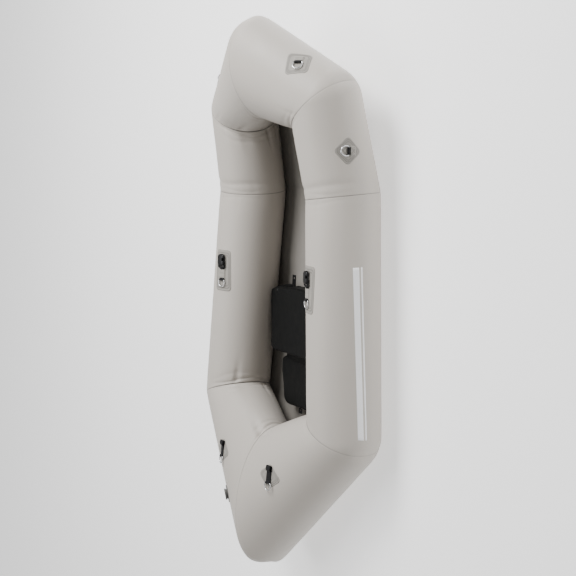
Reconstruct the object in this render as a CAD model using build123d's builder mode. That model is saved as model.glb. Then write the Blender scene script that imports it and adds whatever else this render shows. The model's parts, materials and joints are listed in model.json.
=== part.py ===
"""Single-seat inflatable packraft: eight welded tube panels, a fabric floor, seat, valves and tie-down fittings.

Frame: +X points to the bow, +Y to port, +Z up. The origin is on the ground, under the middle of the raft's box.
Every piece on the port side is made first, and the starboard piece is its mirror image.
"""
from build123d import *
from math import atan2, cos, degrees, hypot, pi, radians, sin
import os

os.makedirs("parts", exist_ok=True)

# --- driving dimensions of the hull (mm, degrees) -------------------------------------------------
tube_radius = 133.0            # side tubes, inflated
shoulder_radius = 130.0        # where the shoulder meets the bow
fabric = 1.0                   # coated tube fabric
ground_gap = 0.0               # side tubes stand on the ground

stern_x = -768.0               # middle of the stern's centre seam
stern_height = 189.0
stern_seam_long = 293.0        # half of the centre seam, fore and aft
stern_seam_high = 155.0        # half of the centre seam, upwards
stern_tilt = 3.0

corner_x = -411.0              # stern corner, where the stern meets the side tube
corner_out = 389.0
side_front_x = 423.0           # front end of the side tube
side_front_out = 318.0
shoulder_x = 735.0             # front end of the shoulder
shoulder_out = 288.0
shoulder_height = 202.0

bow_x = 876.0                  # middle of the bow's centre seam
bow_height = 302.0
bow_seam_long = 192.5
bow_seam_high = 128.0
bow_tilt = 15.6

seam_tape_width = 24.0         # welded inside, astride each seam
seam_tape_thickness = 0.6
floor_thickness = 1.0
floor_weld_inset = 12.0        # floor's edge, inboard of the line where the tube is lowest

# --- fittings --------------------------------------------------------------------------------------
patch_thickness = 1.2
patch_corner = 14.0
webbing_width = 25.0
webbing_thickness = 1.6
ring_wire = 4.0                # D-ring steel wire
ring_depth = 27.0
ring_side_gap = 2.0            # between the webbing's edge and the D-ring
loop_gap = 0.3                 # between a bar and the webbing round it
tab_tail = 22.0

side_patch_long = 165.0
side_patch_wide = 85.0
side_patch_along = 515.0       # from the stern corner seam
side_patch_round = 104.0       # round the tube: 0 is outboard, 90 is the top
side_ring_offset = -38.0       # along the patch, from its middle
side_buckle_offset = 12.0
buckle_long = 56.0
buckle_wide = 39.0
buckle_thick = 12.0
buckle_bar = 4.0
buckle_side_gap = 0.8
buckle_slot = 3.2              # between the webbing loop and the buckle's body
buckle_window_long = 14.0
buckle_window_wide = 9.0

stern_patch_along = 236.0      # from the stern's centre seam
stern_patch_round = 90.0
stern_patch_long = 94.0
stern_patch_wide = 128.0
stern_strap_tail = 43.0
strap_eye_long = 24.0
strap_eye_gap = 9.0

shoulder_patch_along = 124.0   # from the side tube's front seam
shoulder_patch_round = 18.0
shoulder_patch_size = 100.0

bow_patch_along = 111.0        # from the shoulder seam
bow_patch_round = 33.0
bow_patch_size = 84.0

# --- main valve, on the port stern panel --------------------------------------------------------------
valve_along = 150.0
valve_round = 62.0
valve_flange_radius = 34.0
valve_flange_thickness = 2.0
valve_neck_radius = 19.0
valve_throat_radius = 13.0
valve_neck_height = 9.0
valve_neck_depth = 14.0
valve_seat_depth = 10.0        # the flap closes on a web this far down the throat
valve_flap_radius = 11.5
valve_flap_thickness = 1.5
valve_flap_travel = 4.0
valve_stem_radius = 2.0
valve_stem_gap = 0.05
valve_spoke = 3.0
valve_cap_radius = 22.0
valve_cap_wall = 2.2
valve_hinge_bar = 3.0
valve_hinge_gap = 0.4

# --- seat ---------------------------------------------------------------------------------------------
seat_front = 42.0              # at the seat's corners
seat_front_bow = 20.0          # how much further forward the middle of its front edge is
seat_depth = 264.0
seat_half_front = 212.0
seat_half_rear = 190.0
seat_height = 92.0
seat_edge = 34.0
seat_fabric = 1.2
seat_floor_gap = 0.5
backrest_gap = 4.0
backrest_length = 208.0
backrest_half = 172.0
backrest_half_rear = 130.0
backrest_thickness = 56.0
backrest_edge = 20.0
tab_length = 20.0
tab_out = 57.0                 # from the middle line to a backrest tab's middle
anchor_length = 44.0
seat_valve_radius = 9.0
seat_valve_bore = 4.0
seat_valve_length = 16.0
seat_valve_travel = 5.0
seat_valve_gap = 0.3


# --- geometry shared by the hull and its fittings ------------------------------------------------------
class Ring:
    """An elliptical seam between two tube panels: x of its plane points outboard, y points up."""

    def __init__(self, plane, out_radius, up_radius):
        self.plane = plane
        self.out_radius = out_radius
        self.up_radius = up_radius

    def point(self, angle):
        """The point at an angle round the tube, in degrees from outboard."""
        a = radians(angle)
        return self.plane.from_local_coords(Vector(self.out_radius * cos(a), self.up_radius * sin(a)))

    def tangent(self, angle):
        """The direction in which the ring runs at that angle."""
        a = radians(angle)
        return self.plane.x_dir * (-self.out_radius * sin(a)) + self.plane.y_dir * (self.up_radius * cos(a))

    def lowest(self):
        """The ring's lowest point."""
        down = atan2(-self.up_radius * self.plane.y_dir.Z, -self.out_radius * self.plane.x_dir.Z)
        return self.point(degrees(down))


def mitre(before, node, after, radius):
    """The ring in which two tubes of one radius meet, on the plane that halves their bend."""
    arriving = (node - before).normalized()
    leaving = (after - node).normalized()
    normal = (arriving + leaving).normalized()
    in_bend = (arriving - leaving).normalized()
    beside = normal.cross(in_bend)
    long_radius = radius / normal.dot(arriving)
    if abs(in_bend.Y) > abs(beside.Y):
        outboard, out_radius, up_radius = in_bend, long_radius, radius
    else:
        outboard, out_radius, up_radius = beside, radius, long_radius
    if outboard.Y < 0:
        outboard = outboard * -1
    return Ring(Plane(origin=node, x_dir=outboard, z_dir=normal), out_radius, up_radius)


stern_node = Vector(stern_x, 0, stern_height)
corner_node = Vector(corner_x, corner_out, ground_gap + tube_radius)
side_node = Vector(side_front_x, side_front_out, ground_gap + tube_radius)
shoulder_node = Vector(shoulder_x, shoulder_out, shoulder_height)
bow_node = Vector(bow_x, 0, bow_height)

stern_outward = Vector(-cos(radians(stern_tilt)), 0, sin(radians(stern_tilt)))
bow_outward = Vector(cos(radians(bow_tilt)), 0, sin(radians(bow_tilt)))
stern_ring = Ring(
    Plane(origin=stern_node, x_dir=stern_outward, z_dir=(0, 1, 0)), stern_seam_long, stern_seam_high
)
corner_ring = mitre(stern_node, corner_node, side_node, tube_radius)
side_ring = mitre(corner_node, side_node, shoulder_node, tube_radius)
shoulder_ring = mitre(side_node, shoulder_node, bow_node, shoulder_radius)
bow_ring = Ring(Plane(origin=bow_node, x_dir=bow_outward, z_dir=(0, -1, 0)), bow_seam_long, bow_seam_high)

panels = {
    "stern": (stern_ring, corner_ring),
    "side": (corner_ring, side_ring),
    "shoulder": (side_ring, shoulder_ring),
    "bow": (shoulder_ring, bow_ring),
}


def core(panel, offset):
    """A tube panel as a filled solid, grown outward by offset: straight lines join its two rings."""
    grow = 1 + offset / tube_radius
    with BuildPart() as filled:
        for ring in panel:
            with BuildSketch(ring.plane):
                with BuildLine():
                    for quarter in range(4):
                        EllipticalCenterArc(
                            (0, 0),
                            ring.out_radius * grow,
                            ring.up_radius * grow,
                            start_angle=90 * quarter,
                            arc_size=90,
                        )
                make_face()
        loft(ruled=True)
    return filled.part


def skin(panel, inner, outer):
    """The layer of a tube panel between two offsets from its outer face."""
    with BuildPart() as layer:
        add(core(panel, outer))
        add(core(panel, inner), mode=Mode.SUBTRACT)
    return layer.part


def spot(panel, along, round_angle, heading):
    """A plane on a panel's skin: z points outward, x follows the heading as closely as the skin allows."""
    aft, fore = panel
    share = along / (fore.plane.origin - aft.plane.origin).length
    start = aft.point(round_angle)
    end = fore.point(round_angle)
    across = aft.tangent(round_angle) * (1 - share) + fore.tangent(round_angle) * share
    normal = across.cross(end - start).normalized()
    middle = aft.plane.origin * (1 - share) + fore.plane.origin * share
    place = start * (1 - share) + end * share
    if normal.dot(place - middle) < 0:
        normal = normal * -1
    forward = (heading - normal * heading.dot(normal)).normalized()
    return Plane(origin=place, x_dir=forward, z_dir=normal)


def shifted(place, forward, sideways, outward):
    """The same plane, moved along its own axes."""
    origin = place.origin + place.x_dir * forward + place.y_dir * sideways + place.z_dir * outward
    return Plane(origin=origin, x_dir=place.x_dir, z_dir=place.z_dir)


def upright(place):
    """The plane that stands on a place: its x is the place's x, its y points outward."""
    return Plane(origin=place.origin, x_dir=place.x_dir, z_dir=place.y_dir * -1)


def finish(part, name):
    """Label a piece and write it."""
    part.label = name
    export_step(part, f"parts/{name}.step")


def finish_pair(port, name):
    """Write a port piece and its starboard mirror image."""
    with BuildPart() as starboard:
        mirror(port, about=Plane.XZ)
    finish(port, f"{name}_port")
    finish(starboard.part, f"{name}_starboard")


bow_heading = Vector(1, 0, 0)
down_heading = Vector(0, 0, -1)
side_place = spot(panels["side"], side_patch_along, side_patch_round, bow_heading)
stern_place = spot(panels["stern"], stern_patch_along, stern_patch_round, bow_heading)
shoulder_place = spot(panels["shoulder"], shoulder_patch_along, shoulder_patch_round, down_heading)
bow_place = spot(panels["bow"], bow_patch_along, bow_patch_round, bow_heading)
valve_place = spot(panels["stern"], valve_along, valve_round, down_heading)


# --- hull: tube panels, seam tapes, floor -----------------------------------------------------------------
def make_tube_panels():
    for name, panel in panels.items():
        sleeve = skin(panel, -fabric, 0)
        with BuildPart() as port:
            add(sleeve)
            if name == "stern":
                with BuildSketch(valve_place):
                    Circle(valve_neck_radius)
                extrude(amount=valve_neck_depth, both=True, mode=Mode.SUBTRACT)
        with BuildPart() as starboard:
            mirror(sleeve, about=Plane.XZ)
        finish(port.part, f"{name}_tube_port")
        finish(starboard.part, f"{name}_tube_starboard")


def tape_half(panel, ring, side):
    """The part of a panel's lining within half a tape's width of a seam, on one side of it."""
    edge = Plane(origin=ring.plane.origin + ring.plane.z_dir * side * seam_tape_width / 2, z_dir=ring.plane.z_dir)
    with BuildPart() as half:
        add(skin(panel, -fabric - seam_tape_thickness, -fabric))
        split(bisect_by=edge, keep=Keep.BOTTOM if side > 0 else Keep.TOP)
    return half.part


def make_seam_tapes():
    corners = (("stern_corner", "stern", "side"), ("side", "side", "shoulder"), ("shoulder", "shoulder", "bow"))
    for name, aft, fore in corners:
        ring = panels[fore][0]
        with BuildPart() as tape:
            add(tape_half(panels[aft], ring, -1))
            add(tape_half(panels[fore], ring, 1))
        finish_pair(tape.part, f"{name}_seam_tape")
    centres = (("stern_centre", "stern", stern_ring, 1), ("bow_centre", "bow", bow_ring, -1))
    for name, panel_name, ring, side in centres:
        with BuildPart() as tape:
            add(tape_half(panels[panel_name], ring, side))
            mirror(about=Plane.XZ)
        finish(tape.part, f"{name}_seam_tape")


def make_floor():
    """One sheet: flat under the side tubes, rising with the tubes towards the bow and the stern."""
    keel = [ring.lowest() for ring in (stern_ring, corner_ring, side_ring, shoulder_ring, bow_ring)]
    bottom = [(point.X, point.Z) for point in keel]
    top = [(point.X, point.Z + floor_thickness) for point in reversed(keel)]
    port_edge = [(point.X, point.Y) for point in keel]
    starboard_edge = [(x, -y) for x, y in reversed(port_edge[1:-1])]
    beam = 2 * (corner_out + tube_radius)
    with BuildPart() as floor:
        with BuildSketch(Plane.XZ):
            Polygon(*bottom, *top, align=None)
        extrude(amount=beam / 2, both=True)
        with BuildSketch(Plane.XY):
            Polygon(*port_edge, *starboard_edge, align=None)
            offset(amount=-floor_weld_inset, kind=Kind.INTERSECTION)
        extrude(amount=bow_height, mode=Mode.INTERSECT)
        for panel in panels.values():
            port = core(panel, 0)
            add(port, mode=Mode.SUBTRACT)
            mirror(port, about=Plane.XZ, mode=Mode.SUBTRACT)
    finish(floor.part, "floor")


# --- tie-down fittings ---------------------------------------------------------------------------------------
loop_hole = ring_wire / 2 + loop_gap
loop_radius = loop_hole + webbing_thickness
bar_height = patch_thickness + loop_radius
tail_height = patch_thickness + 2 * webbing_thickness


def rectangle_patch(panel, place, long, wide):
    """A fabric patch welded on the skin: a rectangle with round corners."""
    with BuildPart() as patch:
        add(skin(panel, 0, patch_thickness))
        with BuildSketch(place):
            RectangleRounded(long, wide, patch_corner)
        extrude(amount=wide / 2, both=True, mode=Mode.INTERSECT)
    return patch.part


def diamond_patch(panel, place, long, wide):
    """A fabric patch welded on the skin: a diamond with round corners."""
    with BuildPart() as patch:
        add(skin(panel, 0, patch_thickness))
        with BuildSketch(place) as outline:
            Polygon((long / 2, 0), (0, wide / 2), (-long / 2, 0), (0, -wide / 2), align=None)
            fillet(outline.vertices(), patch_corner)
        extrude(amount=min(long, wide) / 2, both=True, mode=Mode.INTERSECT)
    return patch.part


def webbing_tab(panel, place, tail, eye=False):
    """Webbing folded round a bar and stitched to its patch: the bar is over the place, the tail runs along x."""
    with BuildPart() as tab:
        with BuildSketch(upright(place)):
            with Locations((0, bar_height)):
                Circle(loop_radius)
            with Locations((tail / 2, 0)):
                Rectangle(tail, 2 * tail_height)
            if eye:
                with Locations((tail + strap_eye_long / 2 - tail_height / 2, tail_height)):
                    SlotOverall(strap_eye_long, strap_eye_gap + 2 * webbing_thickness)
                    SlotOverall(strap_eye_long - 2 * webbing_thickness, strap_eye_gap, mode=Mode.SUBTRACT)
            with Locations((0, bar_height)):
                Circle(loop_hole, mode=Mode.SUBTRACT)
        extrude(amount=webbing_width / 2, both=True)
        add(core(panel, patch_thickness), mode=Mode.SUBTRACT)
    return tab.part


def d_ring(place):
    """A bent steel D-ring whose straight bar is over the place; it lies along minus x."""
    half = webbing_width / 2 + ring_side_gap + ring_wire / 2
    straight = ring_depth - half
    flat = shifted(place, 0, 0, bar_height)
    with BuildPart() as ring:
        with BuildLine(flat) as path:
            bar = Polyline((-straight, half), (0, half), (0, -half), (-straight, -half))
            fillet(path.vertices().sort_by_distance(flat.origin)[:2], ring_wire)
            ThreePointArc(bar @ 1, flat.from_local_coords((-ring_depth, 0)), bar @ 0)
        with BuildSketch(Plane(origin=path.wire() @ 0, z_dir=path.wire() % 0)):
            Circle(ring_wire / 2)
        sweep(path=path.wire())
    return ring.part


def side_buckle(place):
    """A moulded female buckle: its round bar is over the place, its body lies along x."""
    arm = webbing_width / 2 + buckle_side_gap
    body_start = loop_radius + buckle_slot
    with BuildPart() as buckle:
        with BuildSketch(shifted(place, 0, 0, bar_height - buckle_bar / 2)):
            with Locations(((buckle_long - buckle_bar) / 2, 0)):
                RectangleRounded(buckle_long, buckle_wide, buckle_bar)
        extrude(amount=buckle_thick)
        # the bar end is only as thick as the bar
        with BuildSketch(upright(shifted(place, 0, 0, bar_height))):
            with Locations((0, buckle_thick / 2 + buckle_bar / 2)):
                Rectangle(2 * body_start, buckle_thick)
        extrude(amount=buckle_wide, both=True, mode=Mode.SUBTRACT)
        with BuildSketch(shifted(place, 0, 0, bar_height)):
            Rectangle(2 * body_start, 2 * arm)
        extrude(amount=buckle_thick, both=True, mode=Mode.SUBTRACT)
        with BuildSketch(upright(shifted(place, 0, 0, bar_height))):
            Circle(buckle_bar / 2)
        extrude(amount=arm + buckle_bar / 2, both=True)
        # two latch windows, and the mouth that the other half slides into
        middle = (body_start + buckle_long) / 2
        with BuildSketch(shifted(place, middle, 0, bar_height)):
            with GridLocations(0, 2 * buckle_window_wide, 1, 2):
                Rectangle(buckle_window_long, buckle_window_wide)
        extrude(amount=buckle_thick, both=True, mode=Mode.SUBTRACT)
        mouth = shifted(place, buckle_long - buckle_bar / 2, 0, bar_height + (buckle_thick - buckle_bar) / 2)
        with BuildSketch(Plane(origin=mouth.origin, x_dir=mouth.y_dir, z_dir=mouth.x_dir)):
            Rectangle(webbing_width, buckle_thick / 2)
        extrude(amount=-(buckle_long - middle), mode=Mode.SUBTRACT)
    return buckle.part


def make_fittings():
    side_ring = shifted(side_place, side_ring_offset, 0, 0)
    side_clip = shifted(side_place, side_buckle_offset, 0, 0)
    clip_tab = Plane(origin=side_clip.origin, x_dir=side_clip.x_dir * -1, z_dir=side_clip.z_dir)
    stern_ring_place = shifted(stern_place, -stern_patch_long / 4, 0, 0)

    finish_pair(rectangle_patch(panels["side"], side_place, side_patch_long, side_patch_wide), "side_patch")
    finish_pair(webbing_tab(panels["side"], side_ring, tab_tail), "side_ring_tab")
    finish_pair(d_ring(side_ring), "side_d_ring")
    finish_pair(webbing_tab(panels["side"], clip_tab, tab_tail), "side_buckle_tab")
    finish_pair(side_buckle(side_clip), "side_buckle")

    finish_pair(diamond_patch(panels["stern"], stern_place, stern_patch_long, stern_patch_wide), "stern_patch")
    finish_pair(webbing_tab(panels["stern"], stern_ring_place, stern_strap_tail, eye=True), "stern_strap")
    finish_pair(d_ring(stern_ring_place), "stern_d_ring")

    size = shoulder_patch_size
    finish_pair(diamond_patch(panels["shoulder"], shoulder_place, size, size), "shoulder_patch")
    finish_pair(webbing_tab(panels["shoulder"], shoulder_place, tab_tail), "shoulder_ring_tab")
    finish_pair(d_ring(shoulder_place), "shoulder_d_ring")

    finish_pair(rectangle_patch(panels["bow"], bow_place, bow_patch_size, bow_patch_size), "bow_patch")
    finish_pair(webbing_tab(panels["bow"], bow_place, tab_tail), "bow_ring_tab")
    finish_pair(d_ring(bow_place), "bow_d_ring")


# --- main valve -------------------------------------------------------------------------------------------------
valve_hinge_out = valve_cap_radius + 2 * valve_hinge_bar
valve_hinge_height = valve_flange_thickness + 1.5 * valve_hinge_bar
valve_knuckle = valve_hinge_bar / 2 + valve_hinge_gap + valve_hinge_bar / 2
valve_knuckle_width = 10.0
valve_ear_width = 4.0


def make_valve_base():
    """Welded flange, neck and seat in one moulding, with a bar for the cap's hinge."""
    hub_radius = valve_stem_radius + valve_spoke
    lip_radius = valve_flap_radius - valve_spoke / 2
    panel = panels["stern"]
    hinge = upright(shifted(valve_place, valve_hinge_out, 0, valve_hinge_height))
    ear_middle = (valve_knuckle_width + valve_ear_width) / 2 + valve_hinge_gap
    with BuildPart() as base:
        add(skin(panel, 0, valve_flange_thickness))
        with BuildSketch(valve_place):
            Circle(valve_flange_radius)
        extrude(amount=valve_neck_radius, both=True, mode=Mode.INTERSECT)
        with BuildSketch(shifted(valve_place, 0, 0, -valve_neck_depth)):
            Circle(valve_neck_radius)
        extrude(amount=valve_neck_depth + valve_neck_height)
        for side in (-1, 1):
            ear = Plane(
                origin=hinge.origin + valve_place.y_dir * side * ear_middle, x_dir=hinge.x_dir, z_dir=hinge.z_dir
            )
            with BuildSketch(ear):
                Circle(valve_hinge_bar)
                with Locations((0, -valve_hinge_height / 2)):
                    Rectangle(2 * valve_hinge_bar, valve_hinge_height)
            extrude(amount=valve_ear_width / 2, both=True)
        with BuildSketch(hinge):
            Circle(valve_hinge_bar / 2)
        extrude(amount=ear_middle, both=True)
        with BuildSketch(shifted(valve_place, 0, 0, -valve_neck_depth)):
            Circle(valve_throat_radius)
        extrude(amount=valve_neck_depth + valve_neck_height, mode=Mode.SUBTRACT)
        # the web across the throat: a lip for the flap, and three spokes with the stem's hub
        with BuildSketch(shifted(valve_place, 0, 0, -valve_seat_depth)):
            Circle(valve_throat_radius)
            Circle(lip_radius, mode=Mode.SUBTRACT)
            with PolarLocations(lip_radius / 2, 3):
                Rectangle(lip_radius + valve_spoke, valve_spoke)
            Circle(hub_radius)
            Circle(valve_stem_radius + valve_stem_gap, mode=Mode.SUBTRACT)
        extrude(amount=valve_flange_thickness)
    finish(base.part, "valve_base")


def make_valve_flap():
    """The one-way flap: a disc under the seat, on a stem with a button that can be pushed."""
    seat_gap = 0.1
    with BuildPart() as flap:
        with BuildSketch(shifted(valve_place, 0, 0, -valve_seat_depth - seat_gap - valve_flap_thickness)):
            Circle(valve_flap_radius)
        extrude(amount=valve_flap_thickness)
        with BuildSketch(shifted(valve_place, 0, 0, -valve_seat_depth - seat_gap)):
            Circle(valve_stem_radius)
        extrude(amount=valve_seat_depth + valve_stem_radius)
        with BuildSketch(shifted(valve_place, 0, 0, seat_gap)):
            Circle(2 * valve_stem_radius)
        extrude(amount=valve_stem_radius)
    finish(flap.part, "valve_flap")


def make_valve_cap():
    """The cap over the neck, with a knuckle round the base's hinge bar."""
    # its skirt ends level with the hinge's plate, so that it clears the neck as it swings
    cap_bottom = valve_hinge_height - valve_hinge_bar / 2
    cap_top = valve_neck_height + valve_hinge_gap + valve_cap_wall
    hinge = upright(shifted(valve_place, valve_hinge_out, 0, valve_hinge_height))
    with BuildPart() as cap:
        with BuildSketch(shifted(valve_place, 0, 0, cap_bottom)):
            Circle(valve_cap_radius)
        extrude(amount=cap_top - cap_bottom)
        chamfer(cap.faces().sort_by(Axis(valve_place.origin, valve_place.z_dir))[-1].edges(), valve_hinge_gap * 2)
        with BuildSketch(shifted(valve_place, valve_hinge_out / 2, 0, valve_hinge_height - valve_hinge_bar / 2)):
            Rectangle(valve_hinge_out, valve_knuckle_width)
        extrude(amount=valve_hinge_bar)
        with BuildSketch(hinge):
            Circle(valve_knuckle)
        extrude(amount=valve_knuckle_width / 2, both=True)
        with BuildSketch(hinge):
            Circle(valve_hinge_bar / 2 + valve_hinge_gap)
        extrude(amount=valve_knuckle_width / 2, both=True, mode=Mode.SUBTRACT)
        with BuildSketch(valve_place):
            Circle(valve_neck_radius + valve_hinge_gap)
        extrude(amount=valve_neck_height + valve_hinge_gap, mode=Mode.SUBTRACT)
    finish(cap.part, "valve_cap")


# --- seat -----------------------------------------------------------------------------------------------------------
seat_bottom = floor_thickness + seat_floor_gap
seat_rear = seat_front - seat_depth
backrest_front = seat_rear - backrest_gap
backrest_rear = backrest_front - backrest_length


def pillow(front, rear, half_front, half_rear, height, edge, corner, inset, bow):
    """The outside of a cushion that lies on the floor, with all its faces moved inward by inset."""
    port, starboard = (front - inset, half_front - inset), (front - inset, inset - half_front)
    with BuildPart() as pad:
        with BuildSketch(Plane.XY.offset(seat_bottom + inset)) as outline:
            with BuildLine():
                if bow:
                    ThreePointArc(port, (front - inset + bow, 0), starboard)
                else:
                    Line(port, starboard)
                Polyline(starboard, (rear + inset, inset - half_rear), (rear + inset, half_rear - inset), port)
            make_face()
            fillet(outline.vertices(), corner - inset)
        extrude(amount=height - 2 * inset)
        fillet(pad.faces().sort_by(Axis.Z)[0].edges() + pad.faces().sort_by(Axis.Z)[-1].edges(), edge - inset)
    return pad.part


def cushion(front, rear, half_front, half_rear, height, edge, corner, bow=0.0):
    """A sealed fabric cushion, full of air; bow is how far the middle of its front edge stands forward."""
    with BuildPart() as pad:
        add(pillow(front, rear, half_front, half_rear, height, edge, corner, 0, bow))
        add(pillow(front, rear, half_front, half_rear, height, edge, corner, seat_fabric, bow), mode=Mode.SUBTRACT)
    return pad.part


def flat_tab(x_start, length, middle_y, height):
    """A flat webbing tab lying along x."""
    with BuildPart() as tab:
        with BuildSketch(Plane.XY.offset(height)):
            with Locations((x_start + length / 2, middle_y)):
                RectangleRounded(length, webbing_width, webbing_thickness)
                with Locations((length / 2 - webbing_width / 2, 0)):
                    Circle(strap_eye_gap / 2, mode=Mode.SUBTRACT)
        extrude(amount=webbing_thickness)
    return tab.part


def make_seat():
    finish(
        cushion(
            seat_front, seat_rear, seat_half_front, seat_half_rear, seat_height, seat_edge, seat_edge, seat_front_bow
        ),
        "seat_base",
    )
    finish(
        cushion(
            backrest_front,
            backrest_rear,
            backrest_half,
            backrest_half_rear,
            backrest_thickness,
            backrest_edge,
            2 * backrest_edge,
        ),
        "backrest",
    )
    anchor_y = seat_half_front - webbing_width
    finish_pair(flat_tab(seat_front + seat_floor_gap, anchor_length, anchor_y, seat_bottom), "seat_anchor_tab")
    tab_height = seat_bottom + backrest_thickness / 2
    with BuildPart() as rear_tab:
        mirror(flat_tab(-backrest_rear, tab_length, tab_out, tab_height), about=Plane.YZ)
    finish_pair(rear_tab.part, "backrest_tab")


def make_seat_valve():
    """Mouth valve on the seat: a glued collar, and a mouthpiece that is pulled out to open."""
    place = Plane.XY.offset(seat_bottom + seat_height).shift_origin(
        (seat_front - seat_depth / 2, -seat_half_rear + 2 * seat_edge, seat_bottom + seat_height)
    )
    with BuildPart() as collar:
        with BuildSketch(place):
            Circle(2 * seat_valve_radius)
        extrude(amount=seat_valve_gap * 5)
        with BuildSketch(place):
            Circle(seat_valve_radius)
        extrude(amount=seat_valve_length / 2)
        with BuildSketch(place):
            Circle(seat_valve_radius - valve_cap_wall)
        extrude(amount=seat_valve_length / 2, mode=Mode.SUBTRACT)
    finish(collar.part, "seat_valve_collar")
    sleeve_radius = seat_valve_radius - valve_cap_wall - seat_valve_gap
    with BuildPart() as mouthpiece:
        with BuildSketch(shifted(place, 0, 0, seat_valve_gap)):
            Circle(sleeve_radius)
        extrude(amount=seat_valve_length)
        with BuildSketch(shifted(place, 0, 0, seat_valve_length / 2 + seat_valve_gap)):
            Circle(seat_valve_radius)
        extrude(amount=seat_valve_length / 2)
        with BuildSketch(place):
            Circle(seat_valve_bore)
        extrude(amount=2 * seat_valve_length, mode=Mode.SUBTRACT)
    finish(mouthpiece.part, "seat_valve_mouthpiece")


make_tube_panels()
make_seam_tapes()
make_floor()
make_fittings()
make_valve_base()
make_valve_flap()
make_valve_cap()
make_seat()
make_seat_valve()
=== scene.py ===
"""One-person packraft: fabric, fittings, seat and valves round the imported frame, on a studio floor."""

import json
import math

import bmesh
import bpy
import numpy as np
from mathutils import Matrix, Vector, noise
from mathutils.bvhtree import BVHTree
from mathutils.geometry import convex_hull_2d

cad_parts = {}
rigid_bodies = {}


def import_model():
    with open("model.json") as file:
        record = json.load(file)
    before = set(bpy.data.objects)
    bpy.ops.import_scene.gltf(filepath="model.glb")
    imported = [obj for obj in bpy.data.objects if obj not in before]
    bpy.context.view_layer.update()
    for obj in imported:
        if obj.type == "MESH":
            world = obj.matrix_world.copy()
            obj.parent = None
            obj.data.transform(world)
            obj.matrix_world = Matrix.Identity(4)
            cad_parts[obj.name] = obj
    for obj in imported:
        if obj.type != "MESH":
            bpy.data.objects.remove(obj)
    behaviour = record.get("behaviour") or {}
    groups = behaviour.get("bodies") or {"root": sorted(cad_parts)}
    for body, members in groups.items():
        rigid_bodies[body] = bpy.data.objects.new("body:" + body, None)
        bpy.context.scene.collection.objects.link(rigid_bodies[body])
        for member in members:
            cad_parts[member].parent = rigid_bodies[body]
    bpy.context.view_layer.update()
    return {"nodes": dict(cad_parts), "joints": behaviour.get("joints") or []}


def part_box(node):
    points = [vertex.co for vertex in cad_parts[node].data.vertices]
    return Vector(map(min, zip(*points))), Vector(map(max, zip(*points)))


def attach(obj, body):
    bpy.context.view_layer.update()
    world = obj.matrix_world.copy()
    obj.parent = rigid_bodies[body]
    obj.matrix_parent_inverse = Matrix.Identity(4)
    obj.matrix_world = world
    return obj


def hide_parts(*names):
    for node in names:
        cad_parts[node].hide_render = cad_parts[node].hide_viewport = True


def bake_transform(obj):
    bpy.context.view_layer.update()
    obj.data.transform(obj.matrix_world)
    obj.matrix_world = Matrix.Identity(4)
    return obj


bl_info = {
    "name": "Packraft builder",
    "version": (1, 0, 0),
    "blender": (4, 5, 0),
    "location": "View3D > Sidebar > Packraft",
    "description": "Builds a one-person packraft round its packed frame",
    "category": "Object",
}

for leftover in list(bpy.data.objects):
    bpy.data.objects.remove(leftover)
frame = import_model()

SIDES = ("port", "starboard")
TUBES = ("stern", "side", "shoulder", "bow")
MM = 0.001
PLANE_STEP = np.array((0.01, 0.01, 0.01, 0.002))  # how finely planes are told apart: normal, then distance

# the hull's skin, in metres
ROW_STEP = 0.009
SEAM_ROWS = (
    0.0, 0.0012, 0.0024, 0.0038, 0.0055, 0.008, 0.011,
    0.0145, 0.018, 0.022, 0.027, 0.033, 0.039, 0.046,
)
SEAM_LINE = 0.0013
VALLEY = 0.0011  # every seam draws the skin in by this much
FOLD_ROWS = ((0.015, 1.0), (0.041, 0.6))  # folds beside a seam: how far from it, and how deep
FOLD_COUNT = 11
FOLD_REACH = 0.07
CREASE_WIDTH = 0.0055
SECOND_CREASE = 0.040
DRIFT = 0.0003
TAPE = 0.0006
TAPE_HALF = 0.012
FLOOR_INSET = 0.013
FLOOR_RIPPLE = 0.006
VALVE_HOLE = 0.019
PRINT = 0.00015
RAY = 0.03  # fittings are laid on the skin from this far above it
PATCH = 0.0012
WEBBING = 0.0016
WEB_STEP = 0.0009
WEB_WIDTH = 0.025
COVER_OVER = 0.0007
COVER_EDGE = 0.0032
COVER_SLOPE = 0.0008
COVER_START = 0.0068  # a patch's cover starts this far behind the bar
PATCH_LINES = {
    "side": (0.006, 0.0105),
    "stern": (0.006, 0.011, 0.022),
    "shoulder": (0.006, 0.011, 0.022),
    "bow": (0.006, 0.010),
}
BAR_RADIUS = 0.002
LOOP_GAP = 0.0003
BAR_HEIGHT = PATCH + BAR_RADIUS + LOOP_GAP + WEBBING
TAB_TAIL = 0.022
STRAP_TAIL = 0.043
EYE_LONG = 0.024
EYE_GAP = 0.0085
STITCH = 0.0026
THREAD = 0.0006
BUCKLE_START = 0.0071
SEAT_SWELL = 0.007
HINGE_CLOTH = 0.0011
HINGE_LIFT = 0.001
STRIPE_RUN = (0.06, 0.61)
STRIPE_WIDE = 0.022
STRIPE_NARROW = 0.006
STRIPE_ANGLE = math.radians(16)
STRIPE_STEP = math.radians(9)


# --- settings -------------------------------------------------------------------------------------
def colour_property(name, description, default):
    return bpy.props.FloatVectorProperty(
        name=name, description=description, default=default, subtype="COLOR", size=3, min=0, max=1
    )


def length_property(name, description, default):
    return bpy.props.FloatProperty(
        name=name, description=description, default=default, unit="LENGTH", subtype="DISTANCE", min=0
    )


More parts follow.
